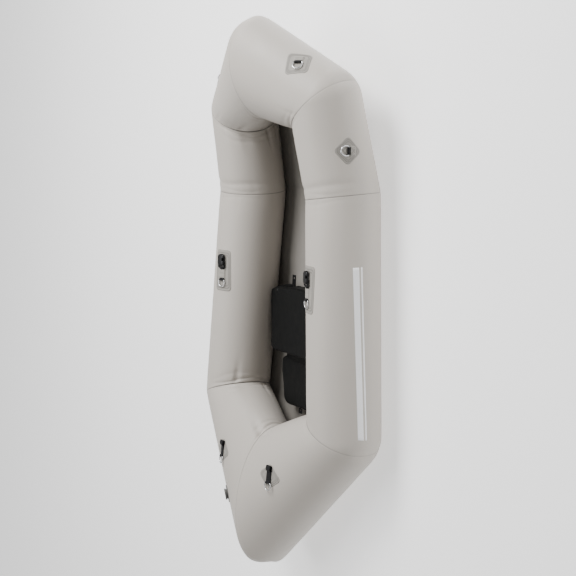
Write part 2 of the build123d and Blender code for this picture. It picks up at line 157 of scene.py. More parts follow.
class RaftHullSettings(bpy.types.PropertyGroup):
    """Sizes and colours of the tubes, the floor and the patches."""

    fabric: colour_property("Fabric", "Colour of the coated tube fabric", (0.50, 0.462, 0.415))
    patch: colour_property("Patch", "Colour of the welded patches", (0.31, 0.292, 0.262))
    # the floor sheet's colour is set darker than the tube fabric's, to paint the shade that falls inside the
    # cockpit
    floor: colour_property("Floor", "Colour of the floor sheet", (0.215, 0.20, 0.18))
    stripe: colour_property("Stripe", "Colour of the printed stripe", (0.93, 0.93, 0.94))
    seam_line: colour_property("Seam line", "Colour of the weld line at a seam", (0.15, 0.139, 0.127))
    wall: length_property("Wall", "Thickness of the tube fabric", 1.0 * MM)
    groove: length_property("Seam groove", "Depth of the groove at a welded seam", 0.9 * MM)
    groove_width: length_property("Groove width", "Half-width of the groove", 2.2 * MM)
    corner: length_property("Corner", "Radius that rounds the outside of a bend", 115.0 * MM)
    valley: length_property("Valley", "How far from a seam its pull is felt", 46.0 * MM)
    pucker: length_property("Pucker", "Depth of the folds inside a bend", 4.2 * MM)
    around: bpy.props.IntProperty(name="Around", description="Points round a tube", default=176, min=24)


class RaftFittingSettings(bpy.types.PropertyGroup):
    """Sizes and colours of the webbing, rings, buckles and valves."""

    webbing: colour_property("Webbing", "Colour of the webbing", (0.005, 0.005, 0.0055))
    thread: colour_property("Thread", "Colour of the stitching", (0.012, 0.012, 0.013))
    steel: colour_property("Steel", "Colour of the rings", (0.74, 0.74, 0.75))
    plastic: colour_property("Plastic", "Colour of the buckles and valves", (0.005, 0.005, 0.0055))
    valve: colour_property("Valve", "Colour of the tube's valve", (0.10, 0.097, 0.092))


class RaftSeatSettings(bpy.types.PropertyGroup):
    """Sizes and colours of the seat."""

    cloth: colour_property("Cloth", "Colour of the seat's fabric", (0.0032, 0.0034, 0.0034))
    channel: length_property("Channel depth", "How deep the welded channels sink", 5.0 * MM)
    shrink: length_property("Slack", "How much narrower a cushion is before it's inflated", 2.0 * MM)
    spread: length_property("Spread", "How much wider to each side a cushion starts, untrimmed", 20.0 * MM)
    crown: length_property("Crown", "How much lower a cushion is before it's inflated", 4.0 * MM)
    rise: length_property("Rise", "How much higher a cushion starts, before it is trimmed", 9.0 * MM)
    edge: length_property("Edge", "Radius of a cushion's edges", 17.0 * MM)
    voxel: length_property("Voxel", "Mesh size of a cushion", 5.0 * MM)
    pressure: bpy.props.FloatProperty(name="Pressure", description="Air pressure", default=4.0, min=0)


class RaftStageSettings(bpy.types.PropertyGroup):
    """Camera, lights and floor."""

    azimuth: bpy.props.FloatProperty(
        name="Azimuth",
        description="Camera, from starboard to the bow",
        default=math.radians(8.12),
        subtype="ANGLE",
    )
    elevation: bpy.props.FloatProperty(
        name="Elevation", description="Camera height", default=math.radians(31.63), subtype="ANGLE"
    )
    roll: bpy.props.FloatProperty(
        name="Roll", description="Turns the bow to the top", default=math.radians(-92.09), subtype="ANGLE"
    )
    distance: length_property("Distance", "Camera to target", 3.6416)
    target: bpy.props.FloatVectorProperty(
        name="Target",
        description="What the camera looks at",
        default=(0.0607, 0, 0.1465),
        subtype="TRANSLATION",
    )
    lens: bpy.props.FloatProperty(name="Lens", description="Focal length in mm", default=59.76, unit="CAMERA")
    ground: colour_property("Ground", "Colour of the studio floor", (0.92, 0.92, 0.92))
    glow: bpy.props.FloatProperty(
        name="Glow", description="How much light the studio floor gives", default=0.7
    )
    sky: bpy.props.FloatProperty(name="Sky", description="Strength of the soft light all round", default=0.42)
    key: bpy.props.FloatProperty(
        name="Key", description="Power of the light over the bow", default=235.0, unit="POWER"
    )


# --- mesh helpers --------------------------------------------------------------------------------------
def array(vector):
    return np.array(vector, float)


def unit(vectors):
    """Vectors along the last axis, at length one."""
    return vectors / np.linalg.norm(vectors, axis=-1, keepdims=True)


def node_points(node):
    """A CAD node's vertices."""
    return np.array([v.co for v in frame["nodes"][node].data.vertices], float)


def make_mesh(name, points, faces, smooth=True):
    """A new object from points and faces, with its normals outward."""
    mesh = bpy.data.meshes.new(name)
    mesh.from_pydata([tuple(p) for p in np.asarray(points).reshape(-1, 3)], [], faces)
    mesh.validate()
    piece = bpy.data.objects.new(name, mesh)
    bpy.context.scene.collection.objects.link(piece)
    shell = bmesh.new()
    shell.from_mesh(mesh)
    bmesh.ops.recalc_face_normals(shell, faces=shell.faces)
    shell.to_mesh(mesh)
    shell.free()
    mesh.polygons.foreach_set("use_smooth", [smooth] * len(mesh.polygons))
    return piece


def dress(piece, material, body="hull", replaced=()):
    """Give a piece its material and its place in the frame."""
    piece.data.materials.clear()
    piece.data.materials.append(material)
    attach(piece, body)
    if replaced:
        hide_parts(*replaced)
    return piece


def grid_faces(rows, columns, closed_rows=False, closed_columns=True, start=0):
    """Quads between the points of a grid, which may close on itself either way."""
    faces = []
    for i in range(rows if closed_rows else rows - 1):
        for j in range(columns if closed_columns else columns - 1):
            a = start + i * columns + j
            b = start + i * columns + (j + 1) % columns
            c = start + (i + 1) % rows * columns + (j + 1) % columns
            d = start + (i + 1) % rows * columns + j
            faces.append((a, b, c, d))
    return faces


def apply_modifiers(piece):
    """Turn a piece's modifiers into its mesh."""
    bpy.context.view_layer.update()
    graph = bpy.context.evaluated_depsgraph_get()
    mesh = bpy.data.meshes.new_from_object(piece.evaluated_get(graph))
    piece.modifiers.clear()
    piece.data = mesh
    return piece


def cut(piece, tool):
    """Cut a closed tool out of a piece, and delete the tool."""
    modifier = piece.modifiers.new("cut", "BOOLEAN")
    modifier.operation = "DIFFERENCE"
    modifier.solver = "EXACT"
    modifier.object = tool
    apply_modifiers(piece)
    bpy.data.objects.remove(tool)
    return piece


def set_point_value(piece, name, values):
    """Store one number a vertex, for the material to read."""
    layer = piece.data.attributes.new(name, "FLOAT", "POINT")
    layer.data.foreach_set("value", np.asarray(values, np.float32).ravel())


# --- node helpers ---------------------------------------------------------------------------------------
class Shader:
    """A material under construction, with short ways to add nodes."""

    def __init__(self, name):
        self.material = bpy.data.materials.new(name)
        self.material.use_nodes = True
        self.tree = self.material.node_tree
        self.surface = self.tree.nodes["Principled BSDF"]

    def set(self, **sockets):
        for name, value in sockets.items():
            self.surface.inputs[name.replace("_", " ")].default_value = value

    def node(self, kind, sockets=(), **settings):
        made = self.tree.nodes.new(kind)
        for name, value in settings.items():
            setattr(made, name, value)
        for name, value in dict(sockets).items():
            if isinstance(value, bpy.types.NodeSocket):
                self.tree.links.new(value, made.inputs[name])
            else:
                made.inputs[name].default_value = value
        return made

    def place(self):
        """Where a point is on the object, in metres."""
        return self.node("ShaderNodeTexCoord").outputs["Object"]

    def noise(self, scale, detail=2.0, where=None, roughness=0.5):
        where = where or self.place()
        sockets = {"Vector": where, "Scale": scale, "Detail": detail, "Roughness": roughness}
        return self.node("ShaderNodeTexNoise", sockets).outputs["Fac"]

    def wave(self, direction, scale, where=None):
        where = where or self.place()
        sockets = {"Vector": where, "Scale": scale, "Distortion": 0.0, "Detail": 0.0}
        return self.node("ShaderNodeTexWave", sockets, bands_direction=direction).outputs["Fac"]

    def math(self, operation, first, second=0.0):
        sockets = {0: first, 1: second}
        return self.node("ShaderNodeMath", sockets, operation=operation).outputs[0]

    def span(self, value, low, high):
        """A 0 to 1 value, stretched to run from low to high."""
        made = self.node("ShaderNodeMapRange", {"Value": value, "To Min": low, "To Max": high})
        return made.outputs["Result"]

    def mix(self, factor, first, second):
        made = self.node("ShaderNodeMix", data_type="RGBA")
        for index, value in ((0, factor), (6, first), (7, second)):
            if isinstance(value, bpy.types.NodeSocket):
                self.tree.links.new(value, made.inputs[index])
            elif index == 0:
                made.inputs[index].default_value = value
            else:
                made.inputs[index].default_value = (*value, 1)
        return made.outputs[2]

    def bump(self, height, depth, strength=1.0, before=None):
        sockets = {"Height": height, "Distance": depth, "Strength": strength}
        if before:
            sockets["Normal"] = before
        return self.node("ShaderNodeBump", sockets).outputs["Normal"]

    def link(self, socket, name):
        self.tree.links.new(socket, self.surface.inputs[name])


def shade(colour, factor):
    return tuple(min(1.0, c * factor) for c in colour)


def weave(shader, pitch):
    """Over-and-under threads of a plain weave: peaks on a square lattice."""
    turns = 1.0 / (2 * pitch)
    across = shader.wave("X", turns * 0.3142)
    along = shader.wave("Y", turns * 0.3142)
    up = shader.wave("Z", turns * 0.3142)
    return shader.math("ADD", shader.math("MULTIPLY", across, along), shader.math("MULTIPLY", up, along))


def coated_fabric(name, colour, seam_line=None, roughness=0.5, sheen=0.15):
    """Woven nylon under a matt film: faint weave, cloudy film, darker weld lines, scuffs."""
    s = Shader(name)
    clouds = s.noise(5.0, 3.0)
    fine = s.noise(160.0, 2.0)
    tint = s.mix(clouds, shade(colour, 0.965), shade(colour, 1.035))
    tint = s.mix(s.span(fine, 0.0, 0.25), tint, shade(colour, 0.93))
    if seam_line:
        line = s.node("ShaderNodeAttribute", attribute_name="seam").outputs["Fac"]
        broken = s.math("MULTIPLY", line, s.span(s.noise(30.0, 2.0), 0.55, 1.1))
        tint = s.mix(broken, tint, seam_line)
    s.link(tint, "Base Color")
    s.link(s.span(s.noise(14.0, 4.0), roughness - 0.07, roughness + 0.09), "Roughness")
    film = s.bump(s.noise(420.0, 3.0), 0.00012, 0.5)
    s.link(s.bump(weave(s, 0.0011), 0.00009, 0.5, film), "Normal")
    s.set(Sheen_Weight=sheen, Sheen_Roughness=0.45, Specular_IOR_Level=0.38)
    return s.material


def woven_webbing(name, colour):
    """Polyester webbing: diagonal herringbone ribs across its width, with a painted highlight that makes the
    high threads lighter.
    """
    s = Shader(name)
    where = s.node("ShaderNodeUVMap", uv_map="weave").outputs["UV"]
    ribs = s.wave("DIAGONAL", 1.0 / 0.0022 * 0.3142, where)
    rows = s.wave("Y", 1.0 / 0.0016 * 0.3142, where)
    threads = s.math("MULTIPLY", ribs, rows)
    # painted highlight: the colour is lighter where the threads stand high
    s.link(s.mix(s.span(threads, 0.1, 0.9), shade(colour, 0.7), shade(colour, 2.2)), "Base Color")
    s.link(s.span(s.noise(90.0, 2.0), 0.55, 0.75), "Roughness")
    s.link(s.bump(threads, 0.0004, 0.7), "Normal")
    s.set(Sheen_Weight=0.05, Sheen_Roughness=0.5, Specular_IOR_Level=0.18)
    return s.material


def drawn_steel(name, colour):
    """Bent stainless wire: bright, with faint drawing marks and handling scratches."""
    s = Shader(name)
    marks = s.noise(700.0, 2.0)
    s.link(s.mix(s.noise(60.0, 2.0), shade(colour, 0.9), shade(colour, 1.05)), "Base Color")
    s.link(s.span(marks, 0.14, 0.34), "Roughness")
    s.link(s.bump(marks, 0.00003, 0.4), "Normal")
    s.set(Metallic=1.0)
    return s.material


def moulded_plastic(name, colour, roughness=0.34):
    """Acetal moulding: fine spark-eroded grain, a little polished where hands touch it."""
    s = Shader(name)
    worn = s.noise(45.0, 3.0)
    s.link(s.mix(s.noise(220.0, 2.0), shade(colour, 0.8), shade(colour, 1.5)), "Base Color")
    s.link(s.span(worn, roughness - 0.1, roughness + 0.12), "Roughness")
    s.link(s.bump(s.noise(1500.0, 2.0), 0.00006, 0.5), "Normal")
    s.set(Specular_IOR_Level=0.3)
    return s.material


def seat_cloth(name, colour):
    """Black coated seat cloth: a coarser weave, with grey wear on the high places."""
    s = Shader(name)
    wear = s.math("MULTIPLY", s.noise(22.0, 4.0), s.noise(300.0, 2.0))
    s.link(s.mix(wear, shade(colour, 0.75), shade(colour, 2.0)), "Base Color")
    s.link(s.span(s.noise(35.0, 3.0), 0.40, 0.58), "Roughness")
    wrinkles = s.bump(s.noise(26.0, 4.0), 0.0022, 0.45)
    s.link(s.bump(weave(s, 0.0014), 0.00022, 0.6, wrinkles), "Normal")
    s.set(Sheen_Weight=0.01, Sheen_Roughness=0.4, Specular_IOR_Level=0.12)
    return s.material


def silicone(name, colour):
    """Soft translucent-looking rubber of the valve's flap."""
    s = Shader(name)
    s.link(s.mix(s.noise(120.0, 2.0), shade(colour, 0.9), shade(colour, 1.1)), "Base Color")
    s.link(s.span(s.noise(80.0, 2.0), 0.35, 0.5), "Roughness")
    s.link(s.bump(s.noise(900.0, 2.0), 0.00005, 0.4), "Normal")
    return s.material


materials = {}


def mix_materials(scene):
    """Make every material once, from the settings' colours."""
    hull = scene.raft_hull
    fittings = scene.raft_fittings
    line = tuple(hull.seam_line)
    materials["tube"] = coated_fabric("grey_tube_fabric", tuple(hull.fabric), line)
    materials["patch"] = coated_fabric("grey_patch_fabric", tuple(hull.patch), line, 0.55)
    # painted shade: the floor's darker colour stands in for the shade in the cockpit, as the sheet is the
    # tubes' grey
    materials["floor"] = coated_fabric("floor_fabric", tuple(hull.floor), line, 0.48)
    materials["tape"] = coated_fabric("clear_seam_tape", shade(tuple(hull.fabric), 1.15), None, 0.35)
    materials["stripe"] = coated_fabric("printed_stripe_ink", tuple(hull.stripe), None, 0.5)
    materials["webbing"] = woven_webbing("black_webbing", tuple(fittings.webbing))
    materials["thread"] = moulded_plastic("bonded_thread", tuple(fittings.thread), 0.5)
    materials["steel"] = drawn_steel("ring_steel", tuple(fittings.steel))
    materials["plastic"] = moulded_plastic("black_acetal", tuple(fittings.plastic))
    materials["valve"] = moulded_plastic("grey_valve_plastic", tuple(fittings.valve), 0.42)
    materials["silicone"] = silicone("grey_silicone", (0.25, 0.25, 0.25))
    materials["seat"] = seat_cloth("black_seat_cloth", tuple(scene.raft_seat.cloth))


# --- the hull's seams, read from the frame -----------------------------------------------------------------
class Seam:
    """An elliptical seam: its centre, its outboard half-axis and its upward half-axis."""

    def __init__(self, points, normal):
        spread = np.linalg.norm(points[:, None] - points[None], axis=-1)
        a, b = np.unravel_index(spread.argmax(), spread.shape)
        self.centre = (points[a] + points[b]) / 2
        long = (points[a] - points[b]) / 2
        short = np.cross(normal, unit(long))
        short = short * np.abs((points - self.centre) @ short).max()
        out, up = (short, long) if abs(unit(long)[2]) > abs(unit(short)[2]) else (long, short)
        self.out = out if out[:2] @ self.centre[:2] > 0 else -out
        self.up = up if up[2] > 0 else -up

    def point(self, angle):
        outward = np.multiply.outer(np.cos(angle), self.out)
        return self.centre + outward + np.multiply.outer(np.sin(angle), self.up)

    def along(self, angle):
        return np.multiply.outer(-np.sin(angle), self.out) + np.multiply.outer(np.cos(angle), self.up)

    def outward(self, angle):
        """Straight out of the seam, in its own plane."""
        away = np.cross(self.along(angle), np.cross(self.out, self.up))
        return unit(away)


def end_seams(node):
    """The two cut ends of a tube panel, aft end first: the two planes that most of its triangles share."""
    mesh = frame["nodes"][node].data
    planes = np.array([(*f.normal, f.normal.dot(f.center)) for f in mesh.polygons])
    points = node_points(node)
    keys, counts = np.unique(np.round(planes / PLANE_STEP), axis=0, return_counts=True)
    seams = []
    for key in keys[np.argsort(-counts)[:2]]:
        near = (np.abs(planes - key * PLANE_STEP) < PLANE_STEP).all(1)
        ring = points[sorted({v for f in np.flatnonzero(near) for v in mesh.polygons[f].vertices})]
        seams.append(Seam(ring, unit(planes[near, :3].mean(0))))
    return sorted(seams, key=lambda s: s.centre[0])


# --- the tubes' skin ------------------------------------------------------------------------------------
class Panel:
    """A tube panel blown up between two seams, with the folds that its bends and welds give it."""

    def __init__(self, tube, side, look):
        self.aft, self.fore = end_seams(f"{tube}_tube_{side}")
        self.look = look
        self.heading = unit(self.fore.centre - self.aft.centre)
        self.length = np.linalg.norm(self.fore.centre - self.aft.centre)
        self.bends = [np.zeros(3), np.zeros(3)]
        self.crease = 0.0

    def shares(self):
        """Where the rows of points stand between the seams: close together at both ends."""
        rows = int(self.length / ROW_STEP)
        even = np.linspace(ROW_STEP, self.length - ROW_STEP, rows)
        near = np.array(SEAM_ROWS)
        rows = np.concatenate([near, even[(even > near[-1]) & (even < self.length - near[-1])]])
        return np.unique(np.concatenate([rows, self.length - near])) / self.length

    def base(self, angles, shares):
        """Points on the plain skin and the outward normals there."""
        start = self.aft.point(angles)
        end = self.fore.point(angles)
        share = np.asarray(shares)[:, None, None]
        points = start * (1 - share) + end * share
        across = self.aft.along(angles) * (1 - share) + self.fore.along(angles) * share
        normals = unit(np.cross(across, (end - start)[None]))
        middle = self.aft.centre * (1 - share) + self.fore.centre * share
        outward = np.sign((normals * (points - middle)).sum(-1, keepdims=True))
        return points, normals * outward

    def sink(self, angles, shares, normals):
        """How far the skin lies below the plain one, and how dark its weld line is."""
        look = self.look
        run = np.linalg.norm(self.fore.point(angles) - self.aft.point(angles), axis=1)
        depth = np.zeros(normals.shape[:2])
        line = np.zeros(normals.shape[:2])
        ends = ((self.bends[0], shares[:, None] * run), (self.bends[1], (1 - shares[:, None]) * run))
        for end, (bend, reach) in enumerate(ends):
            inside = np.clip((normals * bend).sum(-1), 0, None)
            depth += look.groove * np.exp(-((reach / look.groove_width) ** 2))
            depth += VALLEY * np.exp(-((reach / look.valley) ** 2))
            line = np.maximum(line, np.exp(-((reach / SEAM_LINE) ** 2)))
            # where the skin is short of room it gathers into folds that run out from the seam
            phase = FOLD_COUNT * angles[None] + 2.1 * np.sin(3 * angles[None] + end) + 5 * self.crease
            uneven = 0.55 + 0.45 * np.sin(5 * angles[None] + 1.7 * end)
            folds = np.clip(np.cos(phase), 0, None) ** 2 * uneven
            fade = np.exp(-((reach / FOLD_REACH) ** 2)) * (1 - np.exp(-((reach / (FOLD_REACH / 9)) ** 2)))
            depth += look.pucker * 2.2 * inside * folds * fade
            for place, weight in FOLD_ROWS:
                wander = 0.005 * np.sin(4 * angles[None] + 90 * place + end)
                ridge = np.exp(-(((reach - place - wander) / CREASE_WIDTH) ** 2))
                depth += look.pucker * weight * inside * ridge
        if self.crease:
            wander = 0.003 * np.sin(3 * angles[None])
            soft = np.exp(-(((ends[0][1] - self.crease - wander) / (2 * CREASE_WIDTH)) ** 2))
            depth += 2.2 * MM * soft * np.clip(0.4 + np.sin(angles[None]), 0, 1)
        return depth, line

    def rounding(self, angles, shares, normals):
        """How the outside of each bend is rounded off: a tight skin can't hold a corner."""
        run = np.linalg.norm(self.fore.point(angles) - self.aft.point(angles), axis=1)
        moved = np.zeros(normals.shape)
        radius = self.look.corner
        ends = (
            (self.aft, self.bends[0], shares[:, None] * run),
            (self.fore, self.bends[1], (1 - shares[:, None]) * run),
        )
        for seam, bend, reach in ends:
            outside = np.clip(-(seam.outward(angles) @ bend) / 2, 0, 0.85)
            tangent = radius * outside / np.sqrt(1 - outside**2)
            cut = np.clip(tangent - reach, 0, None) ** 2 / (2 * radius * np.sqrt(1 - outside**2))
            moved -= seam.outward(angles)[None] * cut[..., None]
        return moved

    def skin(self, angles, shares, offset=0.0):
        """Points on the real skin, moved outward by offset, and the dark weld line there."""
        points, normals = self.base(angles, shares)
        points = points + self.rounding(angles, shares, normals)
        depth, line = self.sink(angles, shares, normals)
        drift = np.array([[noise.noise(Vector(p) * 9.0) for p in row] for row in points])
        depth += DRIFT * (1 + drift) * np.clip(1 - line, 0, 1)
        return points + normals * (offset - depth)[..., None], line

    def piece(self, name, outer, inner, angles, shares):
        """A closed shell between two offsets of the skin."""
        top, line = self.skin(angles, shares, outer)
        low, _ = self.skin(angles, shares, inner)
        rows, columns = top.shape[:2]
        faces = grid_faces(rows, columns)
        faces += [tuple(reversed(f)) for f in grid_faces(rows, columns, start=rows * columns)]
        for row in (0, rows - 1):
            for j in range(columns):
                a, b = row * columns + j, row * columns + (j + 1) % columns
                faces.append((a, b, b + rows * columns, a + rows * columns))
        made = make_mesh(name, np.concatenate([top.reshape(-1, 3), low.reshape(-1, 3)]), faces)
        set_point_value(made, "seam", np.concatenate([line.ravel(), np.zeros(line.size)]))
        return made

    def tree(self, angles, shares):
        """A search tree of the outer skin."""
        top, _ = self.skin(angles, shares)
        faces = grid_faces(*top.shape[:2])
        return BVHTree.FromPolygons([Vector(p) for p in top.reshape(-1, 3)], faces)


panels = {}
trees = {}


def lay_out_panels(look):
    """Read every panel from the frame, and work out how sharply the hull bends at each seam."""
    for side in SIDES:
        row = [Panel(tube, side, look) for tube in TUBES]
        mirror = np.array((1, -1, 1))
        before = -row[0].heading * mirror
        after = -row[-1].heading * mirror
        headings = [before, *(panel.heading for panel in row), after]
        for i, panel in enumerate(row):
            panel.bends = [headings[i + 1] - headings[i], headings[i + 2] - headings[i + 1]]
        row[TUBES.index("shoulder")].crease = SECOND_CREASE
        for tube, panel in zip(TUBES, row):
            panels[tube, side] = panel


def sew_tubes(look):
    """The eight tube panels, each with its own skin."""
    angles = np.linspace(0, 2 * math.pi, look.around, endpoint=False)
    for (tube, side), panel in panels.items():
        shares = panel.shares()
        made = panel.piece(f"{tube}_tube_skin_{side}", 0.0, -look.wall, angles, shares)
        if (tube, side) == ("stern", "port"):
            cut_valve_hole(made)
        dress(made, materials["tube"], replaced=[f"{tube}_tube_{side}"])
        trees[tube, side] = panel.tree(angles, shares)


def cut_valve_hole(skin):
    """The round hole that the valve's neck goes through."""
    slide = next(j for j in frame["joints"] if j["name"] == "valve_flap_lift")
    low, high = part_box("valve_flap")
    middle = (low + high) / 2
    axis = Vector(slide["axis"])
    tool_mesh = bpy.data.meshes.new("valve_hole_tool")
    shell = bmesh.new()
    turn = axis.to_track_quat("Z", "Y").to_matrix().to_4x4()
    bmesh.ops.create_cone(
        shell,
        cap_ends=True,
        segments=64,
        radius1=VALVE_HOLE,
        radius2=VALVE_HOLE,
        depth=8 * VALVE_HOLE,
        matrix=Matrix.Translation(middle) @ turn,
    )
    shell.to_mesh(tool_mesh)
    shell.free()
    tool = bpy.data.objects.new("valve_hole_tool", tool_mesh)
    bpy.context.scene.collection.objects.link(tool)
    cut(skin, tool)


def weld_tapes(look):
    """Tapes inside each seam, half on each panel."""
    angles = np.linspace(0, 2 * math.pi, look.around, endpoint=False)
    names = ("stern_centre", "stern_corner", "side", "shoulder", "bow_centre")
    for i, name in enumerate(names):
        centre = name.endswith("centre")
        for side in SIDES:
            halves = []
            for panel_at, end in ((i - 1, 1), (i, 0)):
                if not 0 <= panel_at < len(TUBES):
                    continue
                panel = panels[TUBES[panel_at], side]
                reach = np.linspace(0, TAPE_HALF / panel.length, 9)
                shares = reach if end == 0 else 1 - reach[::-1]
                half = panel.piece(f"{name}_tape_half", -look.wall, -look.wall - TAPE, angles, shares)
                halves.append(half)
            made = join(halves, f"{name}_seam_weld_{side}")
            node = f"{name}_seam_tape" + ("" if centre else f"_{side}")
            dress(made, materials["tape"], replaced=[node])


def join(parts, name):
    """Several objects as one."""
    whole = bmesh.new()
    for part in parts:
        whole.from_mesh(part.data)
        bpy.data.objects.remove(part)
    mesh = bpy.data.meshes.new(name)
    whole.to_mesh(mesh)
    whole.free()
    made = bpy.data.objects.new(name, mesh)
    bpy.context.scene.collection.objects.link(made)
    return made


def print_stripes():
    """Two plain bands printed along the outside of each side tube."""
    for side in SIDES:
        panel = panels["side", side]
        halves = []
        for middle, width in ((STRIPE_ANGLE, STRIPE_WIDE), (STRIPE_ANGLE - STRIPE_STEP, STRIPE_NARROW)):
            start, end = (reach / panel.length for reach in STRIPE_RUN)
            shares = np.linspace(start, end, 60)
            half = width / 2 / 0.133
            angles = np.linspace(middle - half, middle + half, 9)
            top, _ = panel.skin(angles, shares, PRINT)
            low, _ = panel.skin(angles, shares, -PRINT)
            rows, columns = top.shape[:2]
            size = rows * columns
            faces = grid_faces(rows, columns, closed_columns=False)
            faces += [tuple(reversed(f)) for f in grid_faces(rows, columns, closed_columns=False, start=size)]
            rim = [j for j in range(columns)] + [i * columns + columns - 1 for i in range(1, rows)]
            rim += [(rows - 1) * columns + j for j in range(columns - 2, -1, -1)]
            rim += [i * columns for i in range(rows - 2, 0, -1)]
            faces += [(a, b, b + size, a + size) for a, b in zip(rim, rim[1:] + rim[:1])]
            halves.append(make_mesh("band", np.concatenate([top.reshape(-1, 3), low.reshape(-1, 3)]), faces))
        dress(join(halves, f"side_stripe_{side}"), materials["stripe"])


def lay_floor(look):
    """The floor sheet, drawn tight between the tubes, with lengthwise ripples."""
    points = node_points("floor")
    low, high = points.min(0), points.max(0)
    columns = np.linspace(-1, 1, 97)
    stations = np.linspace(low[0] + MM, high[0] - MM, 190)
    half = np.array([floor_half_width(x) for x in stations])
    level = np.array([floor_level(x) for x in stations])
    tops = []
    for x, w, z in zip(stations, half, level):
        y = columns * w
        edge = np.clip((1 - np.abs(columns)) * w / 0.05, 0, 1) * clear_of_seat(x)
        drift = np.array([noise.noise(Vector((x * 1.6 + 3, v * 13.0, 0.4))) for v in y])
        fine = np.array([noise.noise(Vector((x * 5.0, v * 34.0, 2.2))) for v in y])
        lift = edge * (FLOOR_RIPPLE * (0.5 + drift) + FLOOR_RIPPLE * 0.35 * fine)
        tops.append(np.stack([np.full_like(y, x), y, z + look.wall + np.clip(lift, 0, None)], 1))
    top = np.array(tops)
    bottom = top - (0, 0, look.wall)
    rows, size = len(stations), len(stations) * len(columns)
    count = len(columns)
    faces = grid_faces(rows, count, closed_columns=False)
    faces += [tuple(reversed(f)) for f in grid_faces(rows, count, closed_columns=False, start=size)]
    rim = list(range(count)) + [i * count + count - 1 for i in range(1, rows)]
    rim += [(rows - 1) * count + j for j in range(count - 2, -1, -1)]
    rim += [i * count for i in range(rows - 2, 0, -1)]
    faces += [(a, b, b + size, a + size) for a, b in zip(rim, rim[1:] + rim[:1])]
    sheet = make_mesh("floor_sheet", np.concatenate([top.reshape(-1, 3), bottom.reshape(-1, 3)]), faces)
    dress(sheet, materials["floor"], replaced=["floor"])


def clear_of_seat(x):
    """The floor lies flat under the seat: nothing there, and full ripples a little way off."""
    low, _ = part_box("backrest_tab_port")
    _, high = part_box("seat_anchor_tab_port")
    gap = max(low[0] - x, x - high[0])
    return float(np.clip(gap / 0.06, 0.05, 1))


def keel_points():
    """The lowest point of each seam on the port side, aft first: x, y and z."""
    seams = [panels["stern", "port"].aft] + [panels[tube, "port"].fore for tube in TUBES]
    lowest = []
    for seam in seams:
        down = math.atan2(-seam.up[2], -seam.out[2])
        lowest.append(seam.point(down))
    return np.array(lowest)


def floor_half_width(x):
    keel = keel_points()
    return max(MM, float(np.interp(x, keel[:, 0], keel[:, 1])) - FLOOR_INSET)


def floor_level(x):
    keel = keel_points()
    return float(np.interp(x, keel[:, 0], keel[:, 2]))


# --- fittings on the skin --------------------------------------------------------------------------------
class Place:
    """Where a fitting's bar sits: bar along side, ahead to the moving part, up off the skin."""

    def __init__(self, body, tube, level_with=None):
        joint = next(j for j in frame["joints"] if j["child"] == body)
        self.origin = array(joint["pos_m"])
        self.side = unit(array(joint["axis"]))
        self.tree = trees[tube, "port" if self.origin[1] > 0 else "starboard"]
        reach = node_points(body).mean(0) - self.origin
        if level_with is None:
            self.ahead = unit(reach - self.side * (reach @ self.side))
            self.up = np.cross(self.side, self.ahead)
            self.up = self.up * np.sign(self.up @ (self.origin - panels_middle(tube, self.origin)))
        else:
            self.up = level_with.up
            self.ahead = unit(np.cross(self.side, self.up))
            self.ahead = self.ahead * np.sign(self.ahead @ reach)
        self.height = BAR_HEIGHT

    def skin_height(self, ahead, side):
        """How far the tube's skin is above the plane that touches it under the bar."""
        start = self.origin + self.ahead * ahead + self.side * side + self.up * RAY
        hit = self.tree.ray_cast(Vector(start), Vector(-self.up), 4 * RAY)[0]
        if hit is None:
            raise RuntimeError("a fitting reaches past its tube panel")
        return float((array(hit) - self.origin) @ self.up) + self.height

    def at(self, ahead, side, above_bar):
        return self.origin + self.ahead * ahead + self.side * side + self.up * above_bar

    def local(self, points):
        gap = points - self.origin
        return np.stack([gap @ self.ahead, gap @ self.side, gap @ self.up], -1)


def panels_middle(tube, point):
    """A point on a tube panel's middle line, beside the given one."""
    panel = panels[tube, "port" if point[1] > 0 else "starboard"]
    share = np.clip((point - panel.aft.centre) @ panel.heading / panel.length, 0, 1)
    return panel.aft.centre * (1 - share) + panel.fore.centre * share


def sweep(name, centres, ups, section, closed=False, widths=None):
    """A closed section, given as (sideways, up) points, carried along a line."""
    centres = np.asarray(centres)
    if closed:
        ahead = np.roll(centres, -1, 0) - np.roll(centres, 1, 0)
    else:
        ahead = np.gradient(centres, axis=0)
    ups = np.broadcast_to(ups, centres.shape)
    across = unit(np.cross(unit(ahead), ups))
    lift = np.cross(across, unit(ahead))
    section = np.asarray(section)
    scale = np.ones(len(centres)) if widths is None else np.asarray(widths)
    points = (
        centres[:, None]
        + across[:, None] * section[None, :, :1] * scale[:, None, None]
        + lift[:, None] * section[None, :, 1:] * scale[:, None, None]
    )
    rows, columns = points.shape[:2]
    faces = grid_faces(rows, columns, closed_rows=closed)
    if not closed:
        faces += [tuple(range(columns))[::-1], tuple((rows - 1) * columns + j for j in range(columns))]
    return make_mesh(name, points, faces)


def circle(radius, count):
    turn = np.linspace(0, 2 * math.pi, count, endpoint=False)
    return np.stack([np.cos(turn), np.sin(turn)], 1) * radius


def smooth_line(points, rounds, closed=False):
    """Cut a line's corners, over and over, until it's a curve."""
    line = np.asarray(points, float)
    for _ in range(rounds):
        after = np.roll(line, -1, 0) if closed else line[1:]
        before = line if closed else line[:-1]
        pairs = np.stack([before * 0.75 + after * 0.25, before * 0.25 + after * 0.75], 1)
        inner = pairs.reshape(-1, line.shape[1])
        line = inner if closed else np.concatenate([line[:1], inner[1:-1], line[-1:]])
    return line


def even_line(points, step, closed=False):
    """The same line with points a step apart."""
    line = np.concatenate([points, points[:1]]) if closed else np.asarray(points)
    run = np.concatenate([[0], np.cumsum(np.linalg.norm(np.diff(line, axis=0), axis=1))])
    marks = np.linspace(0, run[-1], max(8, int(run[-1] / step)), endpoint=not closed)
    return np.stack([np.interp(marks, run, line[:, k]) for k in range(line.shape[1])], 1)


